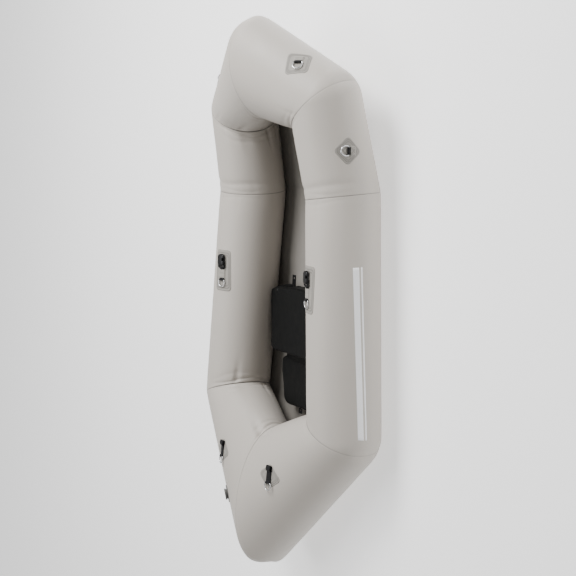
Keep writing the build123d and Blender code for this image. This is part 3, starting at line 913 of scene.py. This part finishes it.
def webbing_path(tail, eye):
    """Webbing round a bar and back over itself, as (behind the bar, above the skin) points."""
    middle = BAR_RADIUS + LOOP_GAP + WEBBING / 2
    low = PATCH + WEBBING / 2
    high = low + WEBBING
    turn = np.radians(np.arange(0, 256, 15))
    loop = np.stack([-middle * np.sin(turn), BAR_HEIGHT - middle * np.cos(turn)], 1)
    saddle = np.array([(0.0040, high + 0.0006), (0.0062, high), (tail, high)])
    if not eye:
        line = np.concatenate([[(tail, low), (tail / 2, low)], loop, saddle])
        return even_line(smooth_line(line, 2), WEB_STEP)
    far = tail + EYE_LONG - 0.003
    top = high + EYE_GAP
    bend = [(far - 0.003, low), (far, low + 0.002), (far, top - 0.002), (far - 0.003, top)]
    back = [
        (tail + 0.005, top),
        (tail, high + 0.002),
        (tail - 0.005, high),
        (0.0062, high),
        (0.0040, high + 0.0006),
    ]
    line = np.concatenate([[(tail / 2, low)], bend, back, loop[::-1]])
    return even_line(smooth_line(line, 2, closed=True), WEB_STEP, closed=True)


def webbing_piece(name, place, tail, width, eye=False):
    """A stitched webbing tab that follows the skin under its tail."""
    path = webbing_path(tail, eye)
    ahead = np.roll(path, -1, 0) - np.roll(path, 1, 0) if eye else np.gradient(path, axis=0)
    ahead = unit(ahead)
    lift = np.stack([-ahead[:, 1], ahead[:, 0]], 1)
    if eye:
        lift = -lift
    columns = 15
    across = np.linspace(-width / 2, width / 2, columns)
    half = WEBBING / 2 * np.clip(1.06 - 0.5 * np.abs(np.linspace(-1, 1, columns)) ** 14, 0, 1)
    section = [(a, h) for a, h in zip(across, half)] + [(a, -h) for a, h in zip(across[::-1], half[::-1])]
    rows = []
    for (behind, above), out in zip(path, lift):
        follow = float(np.clip((behind - 0.003) / 0.005, 0, 1))
        drops = dict.fromkeys(across, 0.0)
        if follow:
            drops = {a: place.skin_height(-behind, a) * follow for a in across}
        row = []
        for a, h in section:
            height = above + drops[a] + out[1] * h - place.height
            row.append(place.at(-(behind + out[0] * h), a, height))
        rows.append(row)
    rows = np.array(rows)
    faces = grid_faces(len(rows), len(section), closed_rows=eye)
    if not eye:
        last = (len(rows) - 1) * len(section)
        faces += [tuple(range(len(section)))[::-1], tuple(last + j for j in range(len(section)))]
    made = make_mesh(name, rows, faces)
    run = np.concatenate([[0], np.cumsum(np.linalg.norm(np.diff(path, axis=0), axis=1))])
    layer = made.data.uv_layers.new(name="weave")
    count = len(section)
    for loop in made.data.loops:
        row, column = divmod(loop.vertex_index, count)
        layer.data[loop.index].uv = (section[column][0] + (0.001 if column >= columns else 0), run[row])
    return made


def stitch_rows(name, place, start, end, width, height):
    """A sewn box with a cross: raised stitches over a stretch of webbing's tail."""
    near, far, side = start + STITCH, end - STITCH, width / 2 - 1.6 * STITCH
    corners = [(near, -side), (far, -side), (far, side), (near, side)]
    runs = [(corners[i], corners[(i + 1) % 4]) for i in range(4)]
    runs += [(corners[0], corners[2]), (corners[1], corners[3])]
    parts = []
    for (b0, s0), (b1, s1) in runs:
        reach = math.hypot(b1 - b0, s1 - s0)
        count = max(2, round(reach / STITCH))
        for i in range(count):
            ends = [(i + 0.12) / count, (i + 0.5) / count, (i + 0.88) / count]
            line = []
            for share, lift in zip(ends, (-0.0002, 0.00022, -0.0002)):
                behind = b0 + (b1 - b0) * share
                across = s0 + (s1 - s0) * share
                above = place.skin_height(-behind, across) - place.height + height + lift
                line.append(place.at(-behind, across, above))
            line = smooth_line(line, 2)
            parts.append(sweep("stitch", line, place.up, circle(THREAD / 2, 6)))
    return join(parts, name)


def cover_height(point, covers):
    """How far a patch is raised where it covers the sewn tail of a piece of webbing."""
    raised = 0.0
    for place, tail in covers:
        ahead, side, _ = place.local(point)
        beside = abs(side) - WEB_WIDTH / 2 - COVER_EDGE
        behind = -ahead - tail - COVER_EDGE
        edge = max(beside, COVER_START + ahead, behind)
        raised = max(raised, 1 / (1 + math.exp(min(60.0, edge / COVER_SLOPE))))
    return raised * (2 * WEBBING + COVER_OVER)


def patch_piece(name, node, tree, inner_lines, covers):
    """A fabric patch welded on the skin and over its webbing's tails, with pressed lines in its edge."""
    points = node_points(node)
    centre = points.mean(0)
    up = np.linalg.svd(points - centre, full_matrices=False)[2][2]
    hull_middle = centre * (1, 0, 0) + (0, 0, 0.12)
    up = up * np.sign(up @ (centre - hull_middle))
    ahead = unit(np.cross(up, (0, 0, 1)) if abs(up[2]) < 0.9 else np.cross(up, (0, 1, 0)))
    side = np.cross(up, ahead)
    flat = np.stack([(points - centre) @ ahead, (points - centre) @ side], 1)
    rim = flat[convex_hull_2d([tuple(p) for p in flat])]
    rim = even_line(rim, 0.0012, closed=True)
    rim = rim - rim.mean(0)
    offset = flat[convex_hull_2d([tuple(p) for p in flat])]
    middle = even_line(offset, 0.0012, closed=True).mean(0)
    size = np.linalg.norm(rim, axis=1).min()
    depths = [0, 0.0004, 0.0012, 0.003]
    for line in inner_lines:
        depths += [line - 0.0014, line - 0.0005, line, line + 0.0005, line + 0.0014]
    depths += list(np.arange(depths[-1] + 0.0015, size * 0.97, 0.0014))
    rows, lines = [], []
    for depth in depths:
        scale = 1 - depth / size
        lift = PATCH * min(1.0, 0.45 + 0.55 * depth / 0.0012)
        near = min([abs(depth - line) for line in inner_lines] + [1.0])
        lift -= 0.0006 * math.exp(-((near / 0.0007) ** 2))
        lift += 0.0002 * (depth > inner_lines[0])
        spots = [centre + ahead * x + side * y for x, y in rim * scale + middle]
        rows.append([drop_on(tree, spot, up, lift + cover_height(spot, covers)) for spot in spots])
        dark = max(math.exp(-((near / 0.0009) ** 2)), 0.8 * math.exp(-((depth / 0.0006) ** 2)))
        lines.append([dark] * len(rim))
    under = [drop_on(tree, centre + ahead * x + side * y, up, -0.0004) for x, y in rim + middle]
    count = len(rim)
    points = np.array([under] + rows).reshape(-1, 3)
    faces = grid_faces(len(rows) + 1, count)
    heart = centre + ahead * middle[0] + side * middle[1]
    top_middle = drop_on(tree, heart, up, PATCH + cover_height(heart, covers))
    low_middle = drop_on(tree, heart, up, -0.0004)
    points = np.concatenate([points, [top_middle, low_middle]])
    last, top, low = len(rows) * count, len(points) - 2, len(points) - 1
    faces += [(last + j, last + (j + 1) % count, top) for j in range(count)]
    faces += [((j + 1) % count, j, low) for j in range(count)]
    made = make_mesh(name, points, faces)
    values = [0.0] * count + [v for row in lines for v in row] + [0.0, 0.0]
    set_point_value(made, "seam", values)
    return made


def drop_on(tree, point, up, lift):
    """A point moved along up onto the skin, then lifted off it."""
    hit, normal, _, _ = tree.ray_cast(Vector(point + up * RAY), Vector(-up), 4 * RAY)
    if hit is None:
        raise RuntimeError("a patch reaches past its tube panel")
    normal = array(normal)
    if normal @ up < 0:
        normal = -normal
    return array(hit) + normal * lift


def ring_piece(name, place, node):
    """A bent wire D-ring with a butt weld in its straight bar."""
    points = place.local(node_points(node))
    wire = np.ptp(points[:, 2])
    half = points[:, 1].max() - wire / 2
    depth = points[:, 0].max() - wire / 2
    straight = depth - half
    corner = wire
    line = []
    for turn in np.radians(np.arange(-90, 91, 5)):
        line.append((straight + half * math.cos(turn), half * math.sin(turn)))
    for turn in np.radians(np.arange(90, 181, 10)):
        line.append((corner + corner * math.cos(turn), half - corner + corner * math.sin(turn)))
    for turn in np.radians(np.arange(180, 271, 10)):
        line.append((corner + corner * math.cos(turn), corner - half + corner * math.sin(turn)))
    path = even_line(np.array(line), 0.0007, closed=True)
    centres = np.array([place.at(a, s, 0) for a, s in path])
    weld = np.exp(-((path[:, 1] / 0.0012) ** 2)) * (path[:, 0] < wire / 2)
    widths = 1 + 0.07 * weld
    return sweep(name, centres, place.up, circle(wire / 2, 20), closed=True, widths=widths)


def box_tool(place, middle, size):
    """A closed box in a place's own axes, for cutting."""
    corners = [(a, s, u) for u in (-1, 1) for s in (-1, 1) for a in (-1, 1)]
    points = [place.at(*(np.array(middle) + np.array(c) * np.array(size) / 2)) for c in corners]
    faces = [(0, 1, 3, 2), (4, 5, 7, 6), (0, 1, 5, 4), (2, 3, 7, 6), (0, 2, 6, 4), (1, 3, 7, 5)]
    return make_mesh("tool", points, faces, smooth=False)


def rounded_outline(half_long, half_wide, power, count):
    turn = np.linspace(0, 2 * math.pi, count, endpoint=False)
    x = np.sign(np.cos(turn)) * np.abs(np.cos(turn)) ** (2 / power) * half_long
    y = np.sign(np.sin(turn)) * np.abs(np.sin(turn)) ** (2 / power) * half_wide
    return np.stack([x, y], 1)


def domed_block(name, place, start, end, half_wide, base, top, power=3.4, waist=0.0):
    """A moulded body with a soft, domed top, as rings stacked between two heights."""
    thick = top - base
    levels = [(0.0, 0.0016), (0.10, 0.0004), (0.25, 0.0), (0.55, 0.0002), (0.72, 0.0011), (0.86, 0.0030)]
    levels += [(0.95, 0.0058), (0.99, 0.0090), (1.0, 0.0120)]
    half_long = (end - start) / 2
    rows = []
    for level, inset in levels:
        outline = rounded_outline(half_long - inset, half_wide - inset, power, 96)
        narrow = 1 - waist * np.exp(-((outline[:, 0] / (half_long * 0.45)) ** 2))
        height = base + thick * level
        rows.append([place.at(x + (start + end) / 2, y * n, height) for (x, y), n in zip(outline, narrow)])
    rows = np.array(rows)
    count = rows.shape[1]
    faces = grid_faces(len(rows), count)
    faces += [tuple(range(count))[::-1], tuple((len(rows) - 1) * count + j for j in range(count))]
    return make_mesh(name, rows, faces)


def buckle_piece(name, place, node):
    """A moulded side buckle: domed body, latch windows, a mouth, grip ribs, and a bar on two arms."""
    points = place.local(node_points(node))
    end, half_wide, base, top = points[:, 0].max(), points[:, 1].max(), points[:, 2].min(), points[:, 2].max()
    start = BUCKLE_START
    body = domed_block(name, place, start, end, half_wide, base, top, waist=0.06)
    middle = (start + end) / 2 + 0.003
    for side in (-1, 1):
        ends = (middle - 0.0075, middle + 0.0075)
        window = domed_block("tool", place, *ends, 0.0048, base - 0.01, top + 0.01, 4)
        window.data.transform(Matrix.Translation(Vector(place.side * side * (half_wide - 0.0062))))
        cut(body, window)
    mouth_height = (base + top) / 2
    mouth = (end - middle, 2 * half_wide - 0.014, (top - base) * 0.45)
    cut(body, box_tool(place, (end, 0, mouth_height), mouth))
    parts = [body]
    for i in range(5):
        ahead = start + 0.0085 + 0.0032 * i
        line = [place.at(ahead, s, top - 0.0004 - 5.5 * s * s) for s in np.linspace(-0.0085, 0.0085, 15)]
        taper = np.sin(np.linspace(0.25, math.pi - 0.25, 15)) ** 0.5
        parts.append(sweep("rib", line, place.up, circle(0.0009, 10), widths=taper))
    bar = [place.at(0, s, 0) for s in np.linspace(-half_wide + 0.002, half_wide - 0.002, 24)]
    parts.append(sweep("bar", bar, place.up, circle(BAR_RADIUS, 20)))
    for side in (-1, 1):
        bends = ((-0.0016, 0), (0.004, 0.0003), (start + 0.004, 0.002))
        line = [place.at(a, side * (half_wide - 0.0032), b) for a, b in bends]
        line = even_line(smooth_line(line, 3), 0.0006)
        arm = rounded_outline(0.0028, 0.0030, 3, 20)
        swell = np.interp(np.linspace(0, 1, len(line)), (0, 0.12, 1), (0.55, 1, 1.15))
        parts.append(sweep("arm", line, place.up, arm, widths=swell))
    return join(parts, name)


def place_fittings():
    """Patches, webbing, rings and buckles on both sides."""
    for side in SIDES:
        places = {tube: Place(f"{tube}_d_ring_{side}", tube) for tube in TUBES}
        clip = Place(f"side_buckle_{side}", "side", level_with=places["side"])
        covers = {tube: [(place, TAB_TAIL)] for tube, place in places.items()}
        covers["side"].append((clip, TAB_TAIL))
        covers["stern"] = []
        for tube, lines in PATCH_LINES.items():
            node = f"{tube}_patch_{side}"
            made = patch_piece(f"{tube}_welded_patch_{side}", node, trees[tube, side], lines, covers[tube])
            dress(made, materials["patch"], replaced=[node])
            ring = f"{tube}_d_ring_{side}"
            made = ring_piece(f"{tube}_ring_wire_{side}", places[tube], ring)
            dress(made, materials["steel"], body=ring, replaced=[ring])
            tab = "stern_strap" if tube == "stern" else f"{tube}_ring_tab"
            add_webbing(f"{tab}_{side}", f"{tube}_webbing_{side}", places[tube], tube == "stern")
        buckle = f"side_buckle_{side}"
        made = buckle_piece(f"side_buckle_body_{side}", clip, buckle)
        dress(made, materials["plastic"], body=buckle, replaced=[buckle])
        add_webbing(f"side_buckle_tab_{side}", f"side_buckle_webbing_{side}", clip, False)


def add_webbing(node, name, place, eye):
    """The webbing of one fitting, with its stitching."""
    tail = STRAP_TAIL if eye else TAB_TAIL
    width = np.ptp(place.local(node_points(node))[:, 1])
    made = webbing_piece(name, place, tail, width, eye)
    dress(made, materials["webbing"], replaced=[node])
    if eye:
        thread = stitch_rows(f"{name}_stitching", place, 0.007, tail - 0.001, width, PATCH + 2 * WEBBING)
        dress(thread, materials["thread"])


# --- valves ---------------------------------------------------------------------------------------------
def finish_valves():
    """The valves keep their frame parts, with moulded finishes."""
    for node in ("valve_base", "valve_cap"):
        show_node(node, materials["valve"])
    for node in ("seat_valve_collar", "seat_valve_mouthpiece"):
        show_node(node, materials["plastic"])
    show_node("valve_flap", materials["silicone"])


def show_node(node, material):
    piece = frame["nodes"][node]
    piece.data.materials.clear()
    piece.data.materials.append(material)


# --- seat -----------------------------------------------------------------------------------------------
def slack_cushion(node, name, look):
    """A closed pillow in a node's own outline, spread sideways and raised, with firm edges."""
    points = node_points(node)
    low, high = points.min(0), points.max(0)
    flat = points[:, :2]
    rim = even_line(flat[convex_hull_2d([tuple(p) for p in flat])], 0.004, closed=True)
    middle = (low + high)[:2] / 2
    half = (high - low)[:2] / 2 - look.shrink
    rim = middle + (rim - middle) * (1, 1 + look.spread / half[1])
    half[1] += look.spread
    bottom, top = low[2] + 0.0004, high[2] + look.rise - look.crown
    turns = np.radians(np.arange(0, 91, 15))
    profile = [(look.edge * (1 - math.cos(t)), look.edge * (1 - math.sin(t))) for t in turns]
    rows = [(inset, bottom + rise) for rise, inset in profile]
    rows += [(inset, top - rise) for rise, inset in reversed(profile)]
    rings = []
    for inset, height in rows:
        shrunk = middle + (rim - middle) * (1 - (look.shrink + inset) / (half + look.shrink))
        rings.append(np.column_stack([shrunk, np.full(len(rim), height)]))
    rings = np.array(rings)
    count = len(rim)
    faces = grid_faces(len(rings), count)
    faces += [tuple(range(count))[::-1], tuple((len(rings) - 1) * count + j for j in range(count))]
    return make_mesh(name, rings, faces)


def blow_up(piece, look, limit):
    """Fill a cushion with air: a cloth simulation whose movement is capped."""
    rest = np.array([v.co for v in piece.data.vertices])
    cloth = piece.modifiers.new("air", "CLOTH")
    cloth.settings.use_pressure = True
    cloth.settings.uniform_pressure_force = look.pressure
    cloth.settings.effector_weights.gravity = 0.0
    cloth.settings.quality = 5
    cloth.point_cache.frame_start = 1
    cloth.point_cache.frame_end = 20
    for step in range(1, 21):
        bpy.context.scene.frame_set(step)
    apply_modifiers(piece)
    bpy.context.scene.frame_set(1)
    moved = np.array([v.co for v in piece.data.vertices])
    gap = moved - rest
    reach = np.linalg.norm(gap, axis=1, keepdims=True)
    gap = gap * np.minimum(1, limit / np.maximum(reach, 1e-9))
    piece.data.vertices.foreach_set("co", (rest + gap).ravel())


def cushion_piece(node, name, look, channels, front_lip):
    """An inflated cushion with welded channels that run fore and aft."""
    low, high = (array(corner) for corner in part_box(node))
    piece = slack_cushion(node, name, look)
    remesh = piece.modifiers.new("even", "REMESH")
    remesh.mode = "VOXEL"
    remesh.voxel_size = look.voxel
    apply_modifiers(piece)
    blow_up(piece, look, SEAT_SWELL)
    divide = piece.modifiers.new("fine", "SUBSURF")
    divide.levels = 1
    apply_modifiers(piece)
    points = np.array([v.co for v in piece.data.vertices])
    share = (points[:, 0] - low[0]) / (high[0] - low[0])
    outline = node_points(node)
    front = np.abs(outline[outline[:, 0] > high[0] - 0.05][:, 1]).max()
    rear = np.abs(outline[outline[:, 0] < low[0] + 0.05][:, 1]).max()
    half = rear + (front - rear) * np.clip(share, 0, 1)
    across = points[:, 1] / half
    top = np.clip((points[:, 2] - low[2]) / (high[2] - low[2]) * 1.6 - 0.6, 0, 1)
    ends = np.minimum(points[:, 0] - low[0], high[0] - points[:, 0])
    fade = np.clip((ends - 0.012) / 0.02, 0, 1)
    sink = np.zeros(len(points))
    for channel in channels:
        for sign in (-1, 1) if channel else (1,):
            gap = (across - sign * channel) * half
            groove = look.channel * np.exp(-((gap / 0.0045) ** 2))
            sink += groove + 0.4 * look.channel * np.exp(-((gap / 0.016) ** 2))
            # the weld draws the cloth up into short cross folds beside it
            ripple = np.sin(points[:, 0] * 330 + 4 * np.sin(points[:, 0] * 71 + sign + channel * 9))
            sink += 0.0006 * ripple * np.exp(-(((np.abs(gap) - 0.007) / 0.006) ** 2))
    points[:, 2] -= sink * top * fade
    # the weld where the top and bottom sheets meet, as a ledge round the front
    middle = low[2] + (high[2] - low[2]) * front_lip
    normals = np.array([v.normal for v in piece.data.vertices])
    ledge = np.exp(-(((points[:, 2] - middle) / 0.0022) ** 2)) * (1 - np.abs(normals[:, 2]))
    points += normals * (0.0028 * ledge)[:, None]
    wrinkle = np.array([noise.noise(Vector((p[0] * 22, p[1] * 9, p[2] * 22))) for p in points])
    fine = np.array([noise.noise(Vector(p) * 55 + Vector((7, 3, 1))) for p in points])
    points += normals * (0.0008 * wrinkle + 0.0004 * fine)[:, None]
    # trimmed to the plain solid, which also flattens the crown and the sides that reach past it
    points = np.clip(points, low + (0, 0, 0.0002), high)
    piece.data.vertices.foreach_set("co", points.ravel())
    piece.data.polygons.foreach_set("use_smooth", [True] * len(piece.data.polygons))
    piece.data.update()
    return piece


def flat_webbing(name, node, material, body):
    """A flat webbing tab with a punched, welded eye at its far end."""
    low, high = (array(corner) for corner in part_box(node))
    far = node_far_end(node)
    start, end = (low[0], high[0]) if far > 0 else (high[0], low[0])
    middle_y, width, thick = (low[1] + high[1]) / 2, high[1] - low[1], high[2] - low[2]
    line = [(start + (end - start) * s, middle_y, (low[2] + high[2]) / 2) for s in np.linspace(0, 1, 40)]
    across = np.linspace(-width / 2, width / 2, 15)
    half = thick / 2 * np.clip(1.02 - 0.5 * np.abs(np.linspace(-1, 1, 15)) ** 14, 0, 1)
    section = [(a, h) for a, h in zip(across, half)] + [(a, -h) for a, h in zip(across[::-1], half[::-1])]
    made = sweep(name, line, (0, 0, 1), section)
    layer = made.data.uv_layers.new(name="weave")
    for loop in made.data.loops:
        place = made.data.vertices[loop.vertex_index].co
        layer.data[loop.index].uv = (place.y, place.x)
    eye = Vector((end - math.copysign(width / 2, end - start), middle_y, line[0][2]))
    through = [eye - Vector((0, 0, 0.01)), eye + Vector((0, 0, 0.01))]
    tool = sweep("tool", through, (1, 0, 0), circle(0.0045, 40))
    cut(made, tool)
    dress(made, material, body=body, replaced=[node])
    turn = np.linspace(0, 2 * math.pi, 60, endpoint=False)
    round_eye = [eye + Vector((math.cos(t), math.sin(t), 0)) * 0.0053 for t in turn]
    ring_section = rounded_outline(0.0009, thick / 2 + 0.0003, 2, 14)
    grommet = sweep(f"{name}_eyelet", round_eye, (0, 0, 1), ring_section, closed=True)
    dress(grommet, materials["plastic"], body=body)


def node_far_end(node):
    """Which way along x a tab points: forward from the seat's front, aft from the backrest."""
    return 1 if node.startswith("seat") else -1


def make_seat(look):
    base = cushion_piece("seat_base", "seat_cushion", look, (0.0, 0.39, 0.79), 0.5)
    dress(base, materials["seat"], replaced=["seat_base"])
    back = cushion_piece("backrest", "back_cushion", look, (0.0, 0.45), 0.5)
    dress(back, materials["seat"], body="backrest", replaced=["backrest"])
    for side in SIDES:
        flat_webbing(f"seat_webbing_{side}", f"seat_anchor_tab_{side}", materials["webbing"], "hull")
        flat_webbing(f"backrest_webbing_{side}", f"backrest_tab_{side}", materials["webbing"], "backrest")
    join_seat_to_backrest()


def join_seat_to_backrest():
    """The strip of cloth that hinges the backrest on the seat."""
    fold = next(j for j in frame["joints"] if j["name"] == "backrest_fold")
    pivot = array(fold["pos_m"])
    half = 0.13
    reach = 0.016
    stations = np.linspace(-reach, reach, 25)
    line = [(pivot[0] + s, 0.0, pivot[2] + HINGE_LIFT - 3.0 * s * s) for s in stations]
    across = np.linspace(-half, half, 61)
    section = [(a, HINGE_CLOTH / 2) for a in across] + [(a, -HINGE_CLOTH / 2) for a in across[::-1]]
    strip = sweep("backrest_hinge_cloth", line, (0, 0, 1), section)
    strip.data.materials.append(materials["seat"])
    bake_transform(strip)


# --- stage ----------------------------------------------------------------------------------------------
def studio_floor(look):
    """A wide, pale floor that curves up at its far edges."""
    stations = np.linspace(-1, 1, 41)
    spots = [(x, y) for x in stations for y in stations]
    points = [(6 * x, 6 * y, -0.002 + 1.2 * max(0.0, max(abs(x), abs(y)) - 0.8) ** 2) for x, y in spots]
    faces = grid_faces(41, 41, closed_columns=False)
    ground = make_mesh("studio_floor", points, faces)
    s = Shader("studio_paper")
    colour = tuple(look.ground)
    s.link(s.mix(s.noise(2.0, 2.0), shade(colour, 0.995), shade(colour, 1.005)), "Base Color")
    s.link(s.bump(s.noise(300.0, 2.0), 0.0001, 0.2), "Normal")
    s.set(Roughness=0.9, Specular_IOR_Level=0.1, Emission_Color=(1, 1, 1, 1), Emission_Strength=look.glow)
    ground.data.materials.append(s.material)


def aim_camera(look):
    a, e = look.azimuth, look.elevation
    back = Vector((math.sin(a) * math.cos(e), -math.cos(a) * math.cos(e), math.sin(e)))
    data = bpy.data.cameras.new("camera")
    data.lens = look.lens
    camera = bpy.data.objects.new("camera", data)
    camera.location = Vector(look.target) + back * look.distance
    turn = back.to_track_quat("Z", "Y") @ Vector((0, 0, 1)).rotation_difference(Vector((0, 0, 1)))
    camera.rotation_mode = "QUATERNION"
    camera.rotation_quaternion = turn
    roll = Matrix.Rotation(look.roll, 4, "Z")
    camera.matrix_world = Matrix.Translation(camera.location) @ turn.to_matrix().to_4x4() @ roll
    bpy.context.scene.collection.objects.link(camera)
    bpy.context.scene.camera = camera


def soft_light(name, place, target, size, power, warmth=(1, 1, 1)):
    data = bpy.data.lights.new(name, "AREA")
    data.shape = "RECTANGLE"
    data.size, data.size_y = size
    data.energy = power
    data.color = warmth
    lamp = bpy.data.objects.new(name, data)
    away = Vector(place) - Vector(target)
    lamp.matrix_world = Matrix.Translation(Vector(place)) @ away.to_track_quat("Z", "Y").to_matrix().to_4x4()
    bpy.context.scene.collection.objects.link(lamp)


def light_stage(look):
    world = bpy.data.worlds.new("studio")
    world.use_nodes = True
    world.node_tree.nodes["Background"].inputs["Color"].default_value = (1, 1, 1, 1)
    world.node_tree.nodes["Background"].inputs["Strength"].default_value = look.sky
    bpy.context.scene.world = world
    soft_light("bow_light", (3.1, 0.4, 3.0), (0.3, 0, 0.1), (1.8, 1.8), look.key)
    soft_light("top_light", (0.0, 0.9, 3.6), (0, 0, 0), (2.5, 2.5), look.key * 0.3)


# --- operators ------------------------------------------------------------------------------------------
def hull_ready():
    if not panels:
        raise RuntimeError("sew the tubes first")


class RAFT_OT_materials(bpy.types.Operator):
    """Mix the fabrics, plastics, webbing and steel"""

    bl_idname = "raft.materials"
    bl_label = "Mix materials"

    def execute(self, context):
        mix_materials(context.scene)
        return {"FINISHED"}


class RAFT_OT_tubes(bpy.types.Operator):
    """Sew and blow up the eight tube panels"""

    bl_idname = "raft.tubes"
    bl_label = "Sew tubes"

    def execute(self, context):
        look = context.scene.raft_hull
        lay_out_panels(look)
        sew_tubes(look)
        return {"FINISHED"}


class RAFT_OT_seams(bpy.types.Operator):
    """Weld the tapes inside the seams and print the stripes"""

    bl_idname = "raft.seams"
    bl_label = "Weld seams"

    def execute(self, context):
        hull_ready()
        look = context.scene.raft_hull
        weld_tapes(look)
        print_stripes()
        return {"FINISHED"}


class RAFT_OT_floor(bpy.types.Operator):
    """Stretch the floor sheet between the tubes"""

    bl_idname = "raft.floor"
    bl_label = "Lay floor"

    def execute(self, context):
        hull_ready()
        lay_floor(context.scene.raft_hull)
        return {"FINISHED"}


class RAFT_OT_fittings(bpy.types.Operator):
    """Weld on the patches with their webbing, rings and buckles"""

    bl_idname = "raft.fittings"
    bl_label = "Fit patches and rings"

    def execute(self, context):
        hull_ready()
        place_fittings()
        return {"FINISHED"}


class RAFT_OT_valves(bpy.types.Operator):
    """Finish the tube valve and the seat valve"""

    bl_idname = "raft.valves"
    bl_label = "Finish valves"

    def execute(self, context):
        finish_valves()
        return {"FINISHED"}


class RAFT_OT_seat(bpy.types.Operator):
    """Inflate the seat and its backrest"""

    bl_idname = "raft.seat"
    bl_label = "Inflate seat"

    def execute(self, context):
        make_seat(context.scene.raft_seat)
        return {"FINISHED"}


class RAFT_OT_stage(bpy.types.Operator):
    """Set up the studio floor, lights and camera"""

    bl_idname = "raft.stage"
    bl_label = "Set stage"

    def execute(self, context):
        look = context.scene.raft_stage
        studio_floor(look)
        light_stage(look)
        aim_camera(look)
        return {"FINISHED"}


OPERATORS = (
    RAFT_OT_materials,
    RAFT_OT_tubes,
    RAFT_OT_seams,
    RAFT_OT_floor,
    RAFT_OT_fittings,
    RAFT_OT_valves,
    RAFT_OT_seat,
    RAFT_OT_stage,
)
SETTINGS = {
    "raft_hull": RaftHullSettings,
    "raft_fittings": RaftFittingSettings,
    "raft_seat": RaftSeatSettings,
    "raft_stage": RaftStageSettings,
}


class RAFT_PT_builder(bpy.types.Panel):
    """The builder's steps, in order"""

    bl_label = "Packraft"
    bl_space_type = "VIEW_3D"
    bl_region_type = "UI"
    bl_category = "Packraft"

    def draw(self, context):
        for step in OPERATORS:
            self.layout.operator(step.bl_idname)


def register():
    for group in SETTINGS.values():
        bpy.utils.register_class(group)
    for step in (*OPERATORS, RAFT_PT_builder):
        bpy.utils.register_class(step)
    for name, group in SETTINGS.items():
        setattr(bpy.types.Scene, name, bpy.props.PointerProperty(type=group))


def unregister():
    for name in SETTINGS:
        delattr(bpy.types.Scene, name)
    for step in (RAFT_PT_builder, *reversed(OPERATORS)):
        bpy.utils.unregister_class(step)
    for group in SETTINGS.values():
        bpy.utils.unregister_class(group)


def main():
    register()
    bpy.ops.raft.materials()
    bpy.ops.raft.tubes()
    bpy.ops.raft.seams()
    bpy.ops.raft.floor()
    bpy.ops.raft.fittings()
    bpy.ops.raft.valves()
    bpy.ops.raft.seat()
    bpy.ops.raft.stage()
    bpy.context.view_layer.update()


if __name__ == "__main__":
    main()
